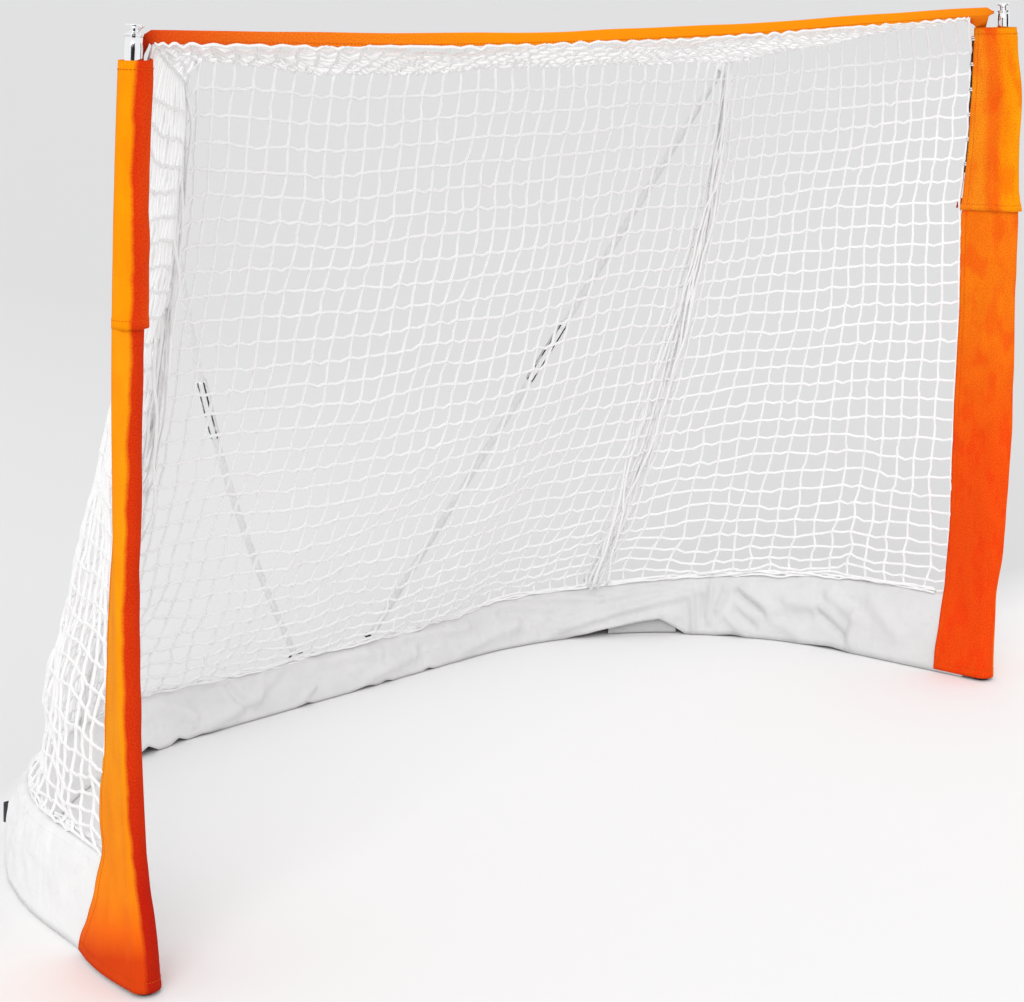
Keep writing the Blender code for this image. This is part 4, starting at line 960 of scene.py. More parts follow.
def painted_black(name, rough_low, rough_high, grain_scale, depth):
    """Black paint, plastic or rubber: a fine grain, with paler dusty patches."""
    f = Finish(name, (0.02, 0.02, 0.023), rough_high)
    grain = f.noise(f.place(), grain_scale, 3.0)
    dust = f.span(f.noise(f.place(), 28.0, 5.0), 0.45, 0.75)
    f.roughness(grain, rough_low, rough_high)
    f.colour(f.mix(dust, (0.014, 0.014, 0.017), (0.03, 0.03, 0.0315)))
    f.bump(grain, depth, 0.6)
    return f.material


def pole_finish(name, low, high):
    """Pale pultruded rod with streaks of fibre along it."""
    f = Finish(name, low, 0.6)
    return grained(f, f.place(), (260.0, 4.0, (1, 1, 0.03)), (low, high), (0.5, 0.7), 0.00008, 0.5)


def gap_shade_finish():
    """Painted shade of the gap between the cuff's layers, drawn as a dark maroon hook-and-loop tape with a nap.
    """
    f = Finish("maroon_gap_shade_nap", (0.025, 0.004, 0.005), 0.9, Sheen_Weight=0.05, Sheen_Roughness=0.4)
    tones = ((0.012, 0.003, 0.004), (0.045, 0.006, 0.007))
    return grained(f, f.cloth_uv(), (900.0, 3.0), tones, (0.85, 0.98), 0.0006, 0.9)


def webbing_finish():
    f = Finish("black_webbing_weave", (0.015, 0.017, 0.03), 0.8, Sheen_Weight=0.2)
    uv = f.cloth_uv()
    ribs = f.waves(uv, 0.0016, "Y")
    grain = f.noise(uv, 700.0)
    # Lighter on the ribs and darker between them, painted shade, mixed with the grain's own tone.
    f.colour(f.mix(f.math("MULTIPLY", ribs, grain), (0.008, 0.009, 0.016), (0.045, 0.05, 0.075)))
    f.roughness(grain, 0.7, 0.9)
    f.bump(ribs, 0.0003, 0.8)
    return f.material


def thread_finish(name, colour):
    f = Finish(name, colour, 0.9, Specular_IOR_Level=0.1)
    twist = f.waves(f.cloth_uv(), 0.0009, "Y")
    # Darker in the grooves of the twist: painted shade.
    f.colour(f.mix(twist, tuple(c * 0.75 for c in colour), colour))
    f.bump(twist, 0.0001, 0.6)
    return f.material


# Sleeves, cuffs and tapes


FRONT_STEPS = 20
SLEEVE_ROWS = 124
CUFF_ROWS = 60
SLEEVE_FLAP_STEPS = 16
CUFF_FLAP_STEPS = 14


def sleeve_grid(side):
    rows = []
    for k in range(SLEEVE_ROWS + 1):
        height = SLEEVE_HEM + (SLEEVE_TOP - SLEEVE_HEM) * k / SLEEVE_ROWS
        # the outer layer flares rearward over the skirt near the floor
        reaches = (sleeve_reach(height), sleeve_reach(height) + read(SLEEVE_FLARE[side], height))
        edges = [sleeve_edge(height, reach) for reach in reaches]
        edges[1] += SLEEVE_CLEARANCE * ease((0.17 - height) / 0.06) + skirt_swell(reaches[1])
        shape = (sleeve_drift(side, height), SLEEVE_POUCH[side] * ease((0.13 - height) / 0.09))
        rows.append(wrap_row(side, height, sleeve_radius(height), reaches, edges, SLEEVE_FLAP_STEPS, *shape))
    grid = np.array(rows)
    # the closed layers open gradually over the skirt instead of in one step
    for _ in range(3):
        grid[1:-1] = (grid[:-2] + 2 * grid[1:-1] + grid[2:]) / 4
    return grid


def cuff_grid(side):
    edges = (LAYER_GAP + 0.0026,) * 2
    rows = []
    for k in range(CUFF_ROWS + 1):
        height = CUFF_HEM + (CUFF_TOP - CUFF_HEM) * k / CUFF_ROWS
        reaches = (cuff_reach(height),) * 2
        rows.append(wrap_row(side, height, cuff_radius(height), reaches, edges, CUFF_FLAP_STEPS))
    return np.array(rows)


def wrinkled(grid, fine, seed):
    """The shared hang of the cloth, then small folds of its own."""
    warped = cloth_warp(grid)
    normals = grid_normals(warped)
    folds = smooth_noise(warped / np.array((1, 1, 1.8)), 0.022, seed) * 0.6
    folds = folds + smooth_noise(warped / np.array((1, 1, 0.8)), 0.045, seed + 5) * 0.8
    return warped + normals * (folds * fine)[..., None]


def clear_of_post(grid, side):
    """Pushes the cloth out wherever it would cut into the upright, seated or lifted."""
    result = grid.copy()
    least = POST_RADIUS + ROOM_ROUND_POST
    for row in result:
        for k, point in enumerate(row):
            for lift in (0, POST_LIFT / 2, POST_LIFT):
                centre = post_point(side, point[2] - lift) + vec(side * lift * POST_LIFT_LEAN, 0, 0)
                offset = row[k, :2] - centre[:2]
                distance = math.hypot(*offset)
                if distance < least:
                    row[k, :2] += offset / distance * (least - distance)
    return result


def add_wrap(side, name, grid, low, material, thread, seams):
    """A sleeve or a cuff, folded double at its hem. seams pair a row with the height of its stitching."""
    swell = 1 + HEM_SWELL * (1 - ease((grid[..., 2] - low - HEM_FOLD) / 0.0015))
    uv = grid_lengths(grid, grid.shape[1] // 2)
    cloth = cloth_object(side_name(f"{name}_cloth", side), grid, uv, material, swell=swell)
    put(cloth, "root", "orange_fabric", side_name(f"post_{name}", side))
    stitching = Bundle()
    normals = grid_normals(grid)
    for column in (2, -3):
        stitching.both_sides(grid[:, column], normals[:, column], 0.0009)
    for row, lift in seams:
        stitching.both_sides(grid[row], normals[row], lift)
    seam = put(stitching.finish(side_name(f"{name}_stitching", side), thread), "root", "orange_fabric")
    width = run_length(grid[len(grid) // 2])


def add_sleeve(side, material, thread):
    grid = clear_of_post(wrinkled(sleeve_grid(side), 0.0008, 2 + side), side)
    add_wrap(side, "sleeve", grid, SLEEVE_HEM, material, thread, ((2, 0.0013),))


def add_cuff(side, material, thread):
    grid = clear_of_post(wrinkled(cuff_grid(side), 0.0012, 7 + side), side)
    add_wrap(side, "cuff", grid, CUFF_HEM, material, thread, ((2, 0.0012), (-3, 0.0012)))


def tape_edge(side, height):
    """The rear edge of the closure tape, just behind the cuff."""
    rearward, _ = flap_axes(side, height)
    reach = cuff_reach(height) + TAPE_PROUD - read(SHORTER[side], height)
    return post_point(side, height) + hang(side, height) + rearward * reach


def strip_grid(side, low, high, steps, start, width):
    """A strip that begins start behind the closure tape's rear edge and is width wide, rearward."""

    def point(height, share):
        rearward, _ = flap_axes(side, height)
        return tape_edge(side, height) + rearward * start + rearward * width * share

    return cloth_warp(grid_of(point, np.linspace(low, high, steps), (0, 0.25, 0.5, 0.75, 1)))


def add_closure_tape(side, material, cord):
    """The dark tape between the cuff's layers, a strip of painted shade for the gap there, and the ties that
    lace the net to it.
    """
    low, high = SLEEVE_TOP + FABRIC, CUFF_TOP - TAPE_END
    grid = strip_grid(side, low, high, 50, 0.0, -TAPE_WIDTH)
    tape = cloth_object(side_name("laced_gap_shade_strip", side), grid, grid_lengths(grid, 0), material, 0.0018)
    put(tape, "root", "maroon_tape", side_name("closure_tape", side))
    lacing = Bundle()
    angle = np.linspace(0, 4 * math.pi, 25)[:, None]
    drop = np.linspace(0.0035, -0.0035, 25)[:, None] * vec(0, 0, 1)
    height = high
    while height > low:
        rearward, outward = flap_axes(side, height)
        centre = tape_edge(side, height) - rearward * 0.0045
        turn = rearward * 0.0070 * np.cos(angle) + outward * 0.0036 * np.sin(angle)
        lacing.tube(cloth_warp(centre + turn + drop), 0.0014)
        height -= TIE_PITCH
    put(lacing.finish(side_name("closure_lacing", side), cord), "root", "white_cord")


def add_cuff_corner(side, material):
    """The folded corner of the cuff's hem, which stands out behind its rear edge."""
    low = CUFF_HEM + CORNER_LOW
    grid = strip_grid(side, low, low + CORNER_SIZE[1], 6, -TAPE_PROUD - 0.006, CORNER_SIZE[0])
    corner = cloth_object(side_name("cuff_corner", side), grid, grid_lengths(grid, 0), material, 0.0022)
    put(corner, "root", "orange_fabric")


BAND_COLUMNS = 300
BAND_RING_STEPS = 20
BAND_WALL = 0.0010
BAND_TIPS = {-1: 0.012, 1: 0.022}


def add_band_tab(side, material):
    """An end of the band, turned down into the cuff."""
    post = post_point(side, CUFF_TOP) + hang(side, CUFF_TOP)

    def point(z, share):
        foot = post + flap_axes(side, CUFF_TOP)[0] * between(*BAND_TAB_FOOT[side], share)
        top = vec(side * between(*BAND_TAB_TOP[side], share), BAND_SETBACK, z)
        return between(top, vec(*foot[:2], z), ease((BAND_TOP - BAND_HEIGHT + 0.003 - z) / 0.020))

    levels = np.linspace(BAND_TOP - 0.008, CUFF_TOP - BAND_TAB_DEPTH, 16)
    grid = grid_of(point, levels, np.linspace(0, 1, 9))
    uv = grid_lengths(grid, 4) * (-1.5, 1) + (side * 0.90, 0)
    strap = cloth_object(side_name("band_tab", side), grid, uv, material, 0.0020)
    put(strap, "root", "orange_fabric")
    across = float(np.mean([run_length(row) for row in grid]))
    run_length(grid[:, 4])


def band_ring(x, half):
    """The band's cross-section at x, thinner towards its tips."""
    angle = np.radians(8) + np.radians(344) * np.arange(BAND_RING_STEPS + 1) / BAND_RING_STEPS
    squared = np.sign(np.sin(angle)) * np.abs(np.sin(angle)) ** 0.7
    tip = ease((half - abs(x)) / BAND_TIPS[-1 if x < 0 else 1])
    wave = 0.0011 * smooth_noise(vec(x, 0.3, 0.1), 0.16, 4) * tip
    height = (BAND_HEIGHT - BAND_WALL) / 2 * (0.25 + 0.75 * tip)
    height = height * (1 + 0.07 * smooth_noise(vec(x, 0, 0), 0.09, 6))
    depth = (BAND_THICKNESS - BAND_WALL) / 2 * (0.5 + 0.5 * tip)
    depth = depth * (1 + 0.15 * smooth_noise(vec(x, 0, 1), 0.05, 8))
    centre = vec(x, BAND_SETBACK, BAND_TOP - BAND_HEIGHT / 2 + wave - band_sag(x))
    return centre + np.stack([0 * angle, depth * np.cos(angle), height * squared], axis=1)


def add_top_band(material, thread):
    """A flattened fabric tube along the front of the roof, its ends turned down into the cuffs."""
    tab = post_point(1, CUFF_TOP) + flap_axes(1, CUFF_TOP)[0] * BAND_TAB_REACH
    half = tab[0] + BAND_TAB_WIDTH / 2
    grid = np.array([band_ring(-half + 2 * half * k / BAND_COLUMNS, half) for k in range(BAND_COLUMNS + 1)])
    around = lengths(grid[BAND_COLUMNS // 2])
    uv = np.stack([grid[..., 0], np.broadcast_to(around, grid.shape[:2])], axis=-1)
    band = put(cloth_object("roof_band", grid, uv, material, BAND_WALL), "root", "orange_fabric", "top_band")
    stitching = Bundle()
    low = BAND_TOP - BAND_HEIGHT + 0.0035
    places = np.linspace(-half + 0.01, half - 0.01, 200)
    line = [vec(x, BAND_SETBACK - BAND_THICKNESS / 2, low - band_sag(x)) for x in places]
    stitching.stitches(line, vec(0, -0.0001, 0), 0.006, 0.004)
    seam = put(stitching.finish("band_stitching", thread), "root", "orange_fabric")
    for side in (-1, 1):
        add_band_tab(side, material)


# Skirt


SKIRT_LEVELS = 18
SKIRT_COLUMNS = 720


def hem_lift(signed_place):
    """How far the inner hem is dragged up off the floor."""
    lift = 0
    for start, peak, end, height in HEM_GAPS:
        share = min((signed_place - start) / (peak - start), (end - signed_place) / (end - peak))
        lift = max(lift, height * max(share, 0))
    return lift


def skirt_grid():
    """Rows across the skirt, up its inner wall and down its outer one, and each row's place and centre."""
    reach = HALF_BASE_LENGTH - SKIRT_FRONT_SETBACK
    places = np.linspace(-reach, reach, SKIRT_COLUMNS + 1)
    share = np.linspace(0, 1, SKIRT_LEVELS) ** 0.85
    at_foot = (1 - share) ** 1.5
    up = vec(0, 0, 1)
    grid, centres = [], []
    for signed in places:
        side, place = skirt_place(signed)
        point, along = base_point(side, place, 0)
        outward = outward_of(side, along)
        level = SKIRT_HEM + (skirt_height(place) - SKIRT_HEM) * share
        half = skirt_half_width(place, level)
        bulge = SKIRT_BULGE * ease((0.215 - abs(point[0])) / 0.075) if place > BASE_LEG + BEND_LENGTH else 0
        extra = (skirt_swell(place) + bulge) * (1 - share**4)
        inner_level = level + (hem_lift(signed) - SKIRT_HEM_DROP) * at_foot
        outer_level = level - SKIRT_HEM_DROP * at_foot
        inner = point + up * inner_level[:, None] - outward * half[:, None]
        outer = point + up * outer_level[:, None] + outward * (half + extra)[:, None]
        grid.append(np.concatenate([inner, outer[::-1][1:]]))
        centres.append(base_point(side, place)[0])
    return np.array(grid), places, np.array(centres)


def fold_depth(where, fold):
    start, along, (width, depth) = fold[:2], fold[2:4] - fold[:2], fold[4:]
    share = np.clip((where - start) @ along / (along @ along), 0, 1)
    distance = np.linalg.norm(where - start - share[..., None] * along, axis=-1)
    return depth * np.exp(-((distance / width) ** 2))


def skirt_folds(grid, places, centres):
    """Puckers and long slanting folds, none deep enough to reach the tube inside."""
    normals = grid_normals(grid)
    normals = normals * np.sign((normals * (grid - centres[:, None])).sum(axis=-1, keepdims=True))
    height = grid[..., 2]
    zero = 0 * height
    along = zero + places[:, None]
    flat = np.stack([along, height, zero], axis=-1)
    slanted = np.stack([along + 0.9 * height, height * 1.7 - 0.5 * along, zero], axis=-1)
    inner = zero + (np.arange(grid.shape[1]) < SKIRT_LEVELS)
    seed = np.stack([40 * (1 - inner), zero, zero], axis=-1)
    ridge = 1 - np.abs(smooth_noise(slanted + seed, 0.055, 21)) * 2
    small = 1 - np.abs(smooth_noise(flat * np.array((1.6, 1, 1)) + seed, 0.026, 23)) * 2
    broad = smooth_noise(flat + seed, 0.11, 25)
    crumple = 0.35 + 0.65 * ease((smooth_noise(flat + seed, 0.22, 27) + 0.4) / 0.9)
    from_front = HALF_BASE_LENGTH - np.abs(along)
    near_crease = np.exp(-(((from_front - 0.66) / 0.16) ** 2))
    front = ease((from_front - 0.11) / 0.22)
    amount = 0.0032 * ridge * crumple + 0.0017 * small * crumple + 0.0028 * broad
    amount = amount * (0.25 + 0.75 * front) * (1 + 0.8 * near_crease)
    drawn = FOLD_STRENGTH * sum(fold_depth(flat[..., :2], fold) for fold in SKIRT_FOLDS)
    top = ease((height - 0.004) / 0.02)
    seam = 1 - 0.7 * ease((height / (height.max(axis=1, keepdims=True)) - 0.86) / 0.14)
    return grid + normals * ((amount + drawn * inner) * (0.45 + 0.55 * top) * seam)[..., None]


def keep_clear_of_tube(grid, places, centres):
    """Pushes the cloth out wherever a fold would cut into the base tube."""
    result = grid.copy()
    for row, signed, centre in zip(result, places, centres):
        _, along = base_point(*skirt_place(signed))
        offset = row - centre
        offset = offset - along * (offset @ along)[:, None]
        distance = np.linalg.norm(offset, axis=1)
        push = np.maximum(BASE_TUBE_RADIUS + ROOM_ROUND_TUBE - distance, 0)
        row += offset / distance[:, None] * push[:, None]
    return result


def add_skirt(material, thread):
    grid, places, centres = skirt_grid()
    grid = keep_clear_of_tube(skirt_folds(grid, places, centres), places, centres)
    grid[..., 2] = np.maximum(grid[..., 2], 0.0010)
    down = lengths(grid, 1)
    seam_row = SKIRT_LEVELS - 1
    across = np.broadcast_to(places[:, None], down.shape)
    uv = np.stack([across, down - down[:, seam_row : seam_row + 1]], axis=-1)
    hem = np.zeros(grid.shape[1])
    hem[[0, 1, -2, -1]] = 1
    skirt = cloth_object("skirt_cloth", grid, uv, material, swell=1 + HEM_SWELL * hem)
    put(skirt, "root", "white_fabric", "skirt_left", "skirt_rear", "skirt_right")
    stitching = Bundle()
    normals = grid_normals(grid)
    for row in (seam_row - 2, seam_row + 2):
        sizes = {"pitch": 0.007, "length": 0.004, "radius": 0.0003}
        stitching.both_sides(grid[:, row], normals[:, row], 0.0007, **sizes)
    seam = put(stitching.finish("skirt_stitching", thread), "root", "white_fabric")


def add_lining(material):
    """The strip of lining in front of the tube, seen through the widest gap under the hem. Its white cloth is
    painted grey: painted shade of the hollow under the hem.
    """

    def point(signed, z):
        centre, along = base_point(1, HALF_BASE_LENGTH - signed, 0)
        offset = BASE_TUBE_RADIUS + 0.0026 + 0.0006 * smooth_noise(vec(signed, z, 0), 0.012, 5)
        return centre - outward_of(1, along) * offset + vec(0, 0, z)

    places, levels = np.linspace(LINING_START, LINING_END, 50), np.linspace(LINING_LOW, LINING_HEIGHT, 8)
    grid = grid_of(point, places, levels)
    lining = cloth_object("skirt_lining", grid, grid_lengths(grid, 0), material, 0.0012)
    put(lining, "root", "white_fabric")


def add_skirt_tab(side, material):
    """A loop of webbing stood on edge, its two ends sewn flat against the skirt."""
    start, along = base_point(side, SKIRT_TAB_PLACE, 0)
    at_bottom = skirt_half_width(SKIRT_TAB_PLACE, SKIRT_TAB_BOTTOM)
    wall = at_bottom + skirt_swell(SKIRT_TAB_PLACE) + 0.0014

    def point(z, share):
        lean = skirt_half_width(SKIRT_TAB_PLACE, z) - at_bottom
        out = wall + 0.4 * lean + SKIRT_TAB_PROUD * math.sin(math.pi * share) ** 0.55
        aside = SKIRT_TAB_WIDTH * (share - 0.5)
        return start + outward_of(side, along) * out + along * aside + vec(0, 0, z)

    levels = np.linspace(SKIRT_TAB_BOTTOM, SKIRT_TAB_BOTTOM + SKIRT_TAB_HEIGHT, 8)
    grid = grid_of(point, levels, np.linspace(0, 1, 23))
    tab = cloth_object(side_name("webbing_loop", side), grid, grid_lengths(grid, 11), material, 0.0014)
    put(tab, "root", "black_webbing", side_name("skirt_tab", side))
    run_length(grid[0])


def add_grommet(side, material):
    """The moulded ring round a pole where it leaves the skirt."""
    height = skirt_height(HALF_BASE_LENGTH - POLE_FOOT[0]) + 0.0015
    share = (height - POLE_FOOT[2]) / (POLE_TIP[2] - POLE_FOOT[2])
    profile = np.array((
        (-0.0030, 0.0), (-0.0030, 0.0060), (-0.0016, 0.0078), (0.0002, 0.0074), (0.0014, 0.0050),
        (0.0030, 0.0036), (0.0044, 0.0028), (0.0048, 0.0014), (0.0044, 0.0),
    )) + (0, POLE_RADIUS + 0.0009)
    bundle = Bundle()
    bundle.turned(pole_point(side, share), pole_direction(side, share), profile, 36, ring=True)
    ring = bundle.finish(side_name("skirt_grommet", side), material)
    put(ring, "root", "black_plastic", side_name("pole_grommet", side))


# Net


def whole(steps):
    """Values from 0 to 1 with the given spacing."""
    values = np.concatenate([[0], np.cumsum(steps)])
    return values / values[-1]


def spaced(count, low_share=1.0, start=0.75):
    """count + 1 values from 0 to 1 whose spacing shrinks to low_share over the last part."""
    t = (np.arange(count) + 0.5) / count
    return whole(1 - (1 - low_share) * ease((t - start) / (1 - start)))


def gathered(count, both=True):
    """Values whose spacing shrinks towards the gathered creases."""
    t = (np.arange(count) + 0.5) / count
    near_end = np.minimum(t, 1 - t) if both else 1 - t
    return whole(0.32 + 0.68 * ease(near_end * count / 4.5))


def lattice(top, bottom, left, right, us, vs, belly):
    """Knots between four edges, with a belly in the middle."""

    def point(v, u):
        ends = (1 - v) * ((1 - u) * top(0) + u * top(1)) + v * ((1 - u) * bottom(0) + u * bottom(1))
        edges = (1 - v) * top(u) + v * bottom(u) + (1 - u) * left(v) + u * right(v) - ends
        return edges + belly * math.sin(math.pi * u) * math.sin(math.pi * v)

    return grid_of(point, vs, us)


def loosened(nodes, seed, waves=0.006):
    """Uneven cells: the knots sit a little off the even lattice, and rows wave more near the floor."""
    rng = np.random.default_rng(seed)
    fade = np.full(nodes.shape[:2], 0.15)
    fade[1:-1, 1:-1] = 1
    shift = noise_vector(nodes, 0.12, seed) * waves + rng.normal(0, 1, nodes.shape) * KNOT_SCATTER
    low = 1 + 1.1 * ease((0.55 - nodes[..., 2]) / 0.4)
    return nodes + shift * (fade * low)[..., None]


KNOT_FRACTIONS = (0.0, 0.13, 0.5, 0.87)


def strand(bundle, knots, slack, seed):
    """One strand through a row of knots, hanging slightly between them."""
    path = smooth_path(knots, KNOT_FRACTIONS)
    rng = np.random.default_rng(seed)
    spans = len(knots) - 1
    middle = 4 * np.arange(spans) + 2
    path[middle, 2] -= slack * rng.uniform(0.3, 1.7, spans)
    path[middle] += rng.normal(0, STRAND_SCATTER, (spans, 3))
    swell = np.ones(len(path))
    swell[::4] = KNOT_SWELL
    bundle.tube(path, STRAND_RADIUS * swell)


def net_object(name, side, bundle, material, away, *nodes):
    """A part of the net, with its solids hidden and its points baked in place."""
    net = bundle.finish(side_name(name, side), material)
    if nodes:
        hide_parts(*nodes)
    shift, corner = Vector((0, MOUTH_Y, 0)), net_corner(side)
    start, end = Vector(corner + away) + shift, Vector(corner) + shift
    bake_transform(net)
    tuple(start)
    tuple(end)


def woven_net(nodes, seed, down_slack, across_slack, first=0):
    """The strands of a net, down its columns from the first one and across its rows."""
    bundle = Bundle()
    for column in range(first, nodes.shape[1]):
        strand(bundle, nodes[:, column], down_slack, seed + column)
    for row in range(len(nodes)):
        strand(bundle, nodes[row], across_slack, seed + 100 + row)
    return bundle


def add_halves(name, node, nodes, material, slacks, seed, away):
    """A net in two halves, each with the pole on its side. The right half leaves out the shared column."""
    middle = nodes.shape[1] // 2
    left = woven_net(nodes[:, : middle + 1], seed, *slacks)
    net_object(name, -1, left, material, vec(*away), node)
    right = woven_net(nodes[:, middle:], seed, *slacks, first=1)
    net_object(name, 1, right, material, vec(-away[0], *away[1:]))


def add_back_net(material):
    def left(v):
        return crease_point(-1, v)

    def right(v):
        return crease_point(1, v)

    def bottom(u):
        return skirt_top_point(*skirt_place((2 * u - 1) * (HALF_BASE_LENGTH - CREASE_PLACE)))

    belly = vec(0, -BACK_BELLY, 0)
    nodes = lattice(ridge_point, bottom, left, right, gathered(36), spaced(30, 0.55, 0.7), belly)
    add_halves("back_net", "net_back", loosened(nodes, 31), material, (0.0, 0.0022), 100, (0.25, 0, -0.25))


def add_roof_net(material):
    def front(u):
        return roof_front(between(roof_corner(-1)[0], roof_corner(1)[0], u))

    def edge(side):
        start = front((side + 1) / 2)
        return lambda v: start + (net_corner(side) - start) * v

    nodes = lattice(front, ridge_point, edge(-1), edge(1), gathered(50), spaced(14), vec(0, 0, -ROOF_SAG))
    nodes = loosened(nodes, 37, waves=0.010)
    add_halves("roof_net", "net_roof", nodes, material, (0.003, 0.003), 300, (0.07, -0.188, 0))


def add_side_net(side, material):
    low = SKIRT_SIDE_HEIGHT + FABRIC + 0.002
    high = CUFF_TOP - 0.004

    def front(v):
        sewn = cloth_warp(net_front_point(side, high + (low - high) * v))
        return between(roof_corner(side), sewn, min(v / 0.02, 1))

    def rear(v):
        return crease_point(side, v)

    def top(u):
        return front(0) + (rear(0) - front(0)) * u

    def bottom(u):
        start = sleeve_reach(low)
        return skirt_top_point(side, start + (CREASE_PLACE - start) * u)

    us, vs = gathered(19, both=False), spaced(30, 0.55, 0.7)
    nodes = lattice(top, bottom, front, rear, us, vs, vec(-side * SIDE_BELLY, 0, 0))
    nodes = loosened(nodes, 41 + side, waves=0.011 if side < 0 else 0.006)
    net = woven_net(nodes, 500, 0.0, 0.0022)
    net_object("side_net", side, net, material, vec(0, -0.176, -0.095), side_name("net_side", side))


def add_crease(side, material):
    """Loose strands gathered along the net's rear corner."""
    bundle = Bundle()
    rng = np.random.default_rng(51 + side)
    shares = np.linspace(0, 1, 60)
    for k in range(11):
        phase = rng.uniform(0, 2 * math.pi)
        turns = rng.uniform(0.4, 1.3) * rng.choice((-1, 1))
        spread = rng.uniform(0.008, 0.030)
        line = []
        for v in shares:
            angle = phase + turns * 2 * math.pi * v
            wide = spread * (0.5 + 0.9 * v) * (1 - 0.8 * (1 - ease(v / 0.06)))
            line.append(crease_point(side, v) + vec(math.cos(angle), math.sin(angle), 0) * wide)
        line = np.array(line)
        line = line + noise_vector(line, 0.11, 60 + k) * 0.010 * ease(8 * shares)[:, None]
        line = line + noise_vector(line, 0.035, 80 + k) * 0.003
        bundle.tube(line, STRAND_RADIUS * 0.95)
    net_object("crease_strands", side, bundle, material, vec(0, 0, -0.35))


def add_net_foot(material):
    """Loose strands bunched along the top of the skirt, where the net is laced to it."""
    bundle = Bundle()
    reach = HALF_BASE_LENGTH - 0.105
    for k in range(4):
        rise = 0.001 + 0.0012 * k
        line = np.array([skirt_top_point(*skirt_place(x), rise) for x in np.linspace(-reach, reach, 420)])
        loose = noise_vector(line, 0.05, 90 + 3 * k) * 0.0055
        line = line + loose + noise_vector(line, 0.018, 120 + 3 * k) * 0.0022
        bundle.tube(line, STRAND_RADIUS * 0.9)
    put(bundle.finish("net_foot_strands", material), "root", "white_cord")


def add_corner_pocket(side, material):
    """The cloth pocket that holds a pole's tip, with the net's corner strands drawn up to it."""
    axis = pole_direction(side, 1)
    low = pole_tip(side) - axis * POCKET_DEPTH[side]
    length = (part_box(side_name("pole_tip", side))[1].z - low[2]) / axis[2] + 0.0032
    opening = POCKET_OPENING[side]
    first = unit(np.cross(axis, vec(0, 1, 0)))
    second = np.cross(axis, first)
    dome_part = 1 - POCKET_DOME_START

    def point(level, angle):
        ripple = 1 + 0.05 * math.sin(angle * 7 + 4 * level) + 0.03 * math.sin(angle * 3 + 9 * level)
        dome = math.sqrt(max(1 - (max(level - POCKET_DOME_START, 0) / dome_part) ** 2, 0))
        radius = (opening + (POCKET_RADIUS - opening) * dome + 0.0012 * (level < 0.15)) * ripple
        return low + axis * length * level + radius * (math.cos(angle) * first + math.sin(angle) * second)

    domed = POCKET_DOME_START + dome_part * np.sin(np.linspace(0.1, 1, 9) * math.pi / 2)
    levels = np.concatenate([np.linspace(0, POCKET_DOME_START, 14), domed])
    grid = grid_of(point, levels, 2 * np.pi * np.arange(29) / 28)
    pocket = cloth_object(side_name("tip_pocket", side), grid, grid_lengths(grid, 0), material)
    put(pocket, side_name("pole", side), "white_fabric", side_name("corner_pocket", side))


# Tubes, caps and rods


CAP_PROFILE = np.array((
    (-0.0004, 0.5), (0.0, 0.93), (0.0004, 0.985), (0.0010, 1.0), (0.0020, 1.0), (0.0026, 0.97),
    (0.0034, 0.72), (0.0044, 0.56), (0.0056, 0.525), (0.0070, 0.53), (0.0084, 0.62), (0.0100, 0.82),
    (0.0112, 0.95), (0.0120, 1.0), (0.0130, 0.985), (0.0137, 0.93), (0.0140, 0.82), (0.0140, 0.3),
)) * (1, CAP_FLARE_RADIUS)


def add_tube(name, side, line, radius, sides, material, body, slot, node):
    """A tube along a line of points, in place of a solid one."""
    bundle = Bundle()
    bundle.tube(line, radius, sides)
    put(bundle.finish(side_name(name, side), material), side_name(body, side), slot, side_name(node, side))


def add_post_top(side, material):
    """The bare chromed top of an upright with its spool cap, finer than in the solid."""
    top = POST_HEIGHT - CAP_HEIGHT
    line = [post_point(side, h) for h in np.linspace(POST_SHOWN_FROM, top, 40)]
    add_tube("chrome_tube", side, line, POST_RADIUS, 40, material, "upright", "chrome", "upright_upper")
    axis = unit(post_point(side, POST_HEIGHT) - post_point(side, top))
    bundle = Bundle()
    bundle.turned(post_point(side, top), axis, CAP_PROFILE, 48)
    cap = bundle.finish(side_name("spool_cap", side), material)
    put(cap, side_name("upright", side), "chrome", side_name("post_cap", side))


def add_pole(side, rod, ferrule):
    for name, low, high in (("pole_lower", -0.012, 0.4995), ("pole_upper", 0.5005, 0.985)):
        line = [pole_point(side, s) for s in np.linspace(low, high, 60)]
        add_tube(f"{name}_rod", side, line, POLE_RADIUS, 20, rod, "pole", "white_fibreglass", name)
    half = FERRULE_LENGTH / 2 / float(np.linalg.norm(pole_tip(side) - pole_foot(side)))
    line = [pole_point(side, s) for s in np.linspace(0.5 - half, 0.5 + half, 40)]
    t = np.abs(np.linspace(-1, 1, 40))
    ends = 1 - 0.14 * ease((t - 0.93) / 0.07)
    crimps = 1 - 0.09 * np.exp(-(((t - 0.8) / 0.02) ** 2))
    radius = (POLE_RADIUS + FERRULE_PROUD) * ends * crimps
    add_tube("crimped_ferrule", side, line, radius, 28, ferrule, "pole", "chrome", "pole_ferrule")


def paint(node, material):
    """Gives a carried-over solid its finish."""
    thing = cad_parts[node]
    thing.data.materials.clear()
    thing.data.materials.append(material)
    thing.data.shade_smooth()
    thing.data.set_sharp_from_angle(angle=math.radians(35))


# Camera, floor and light


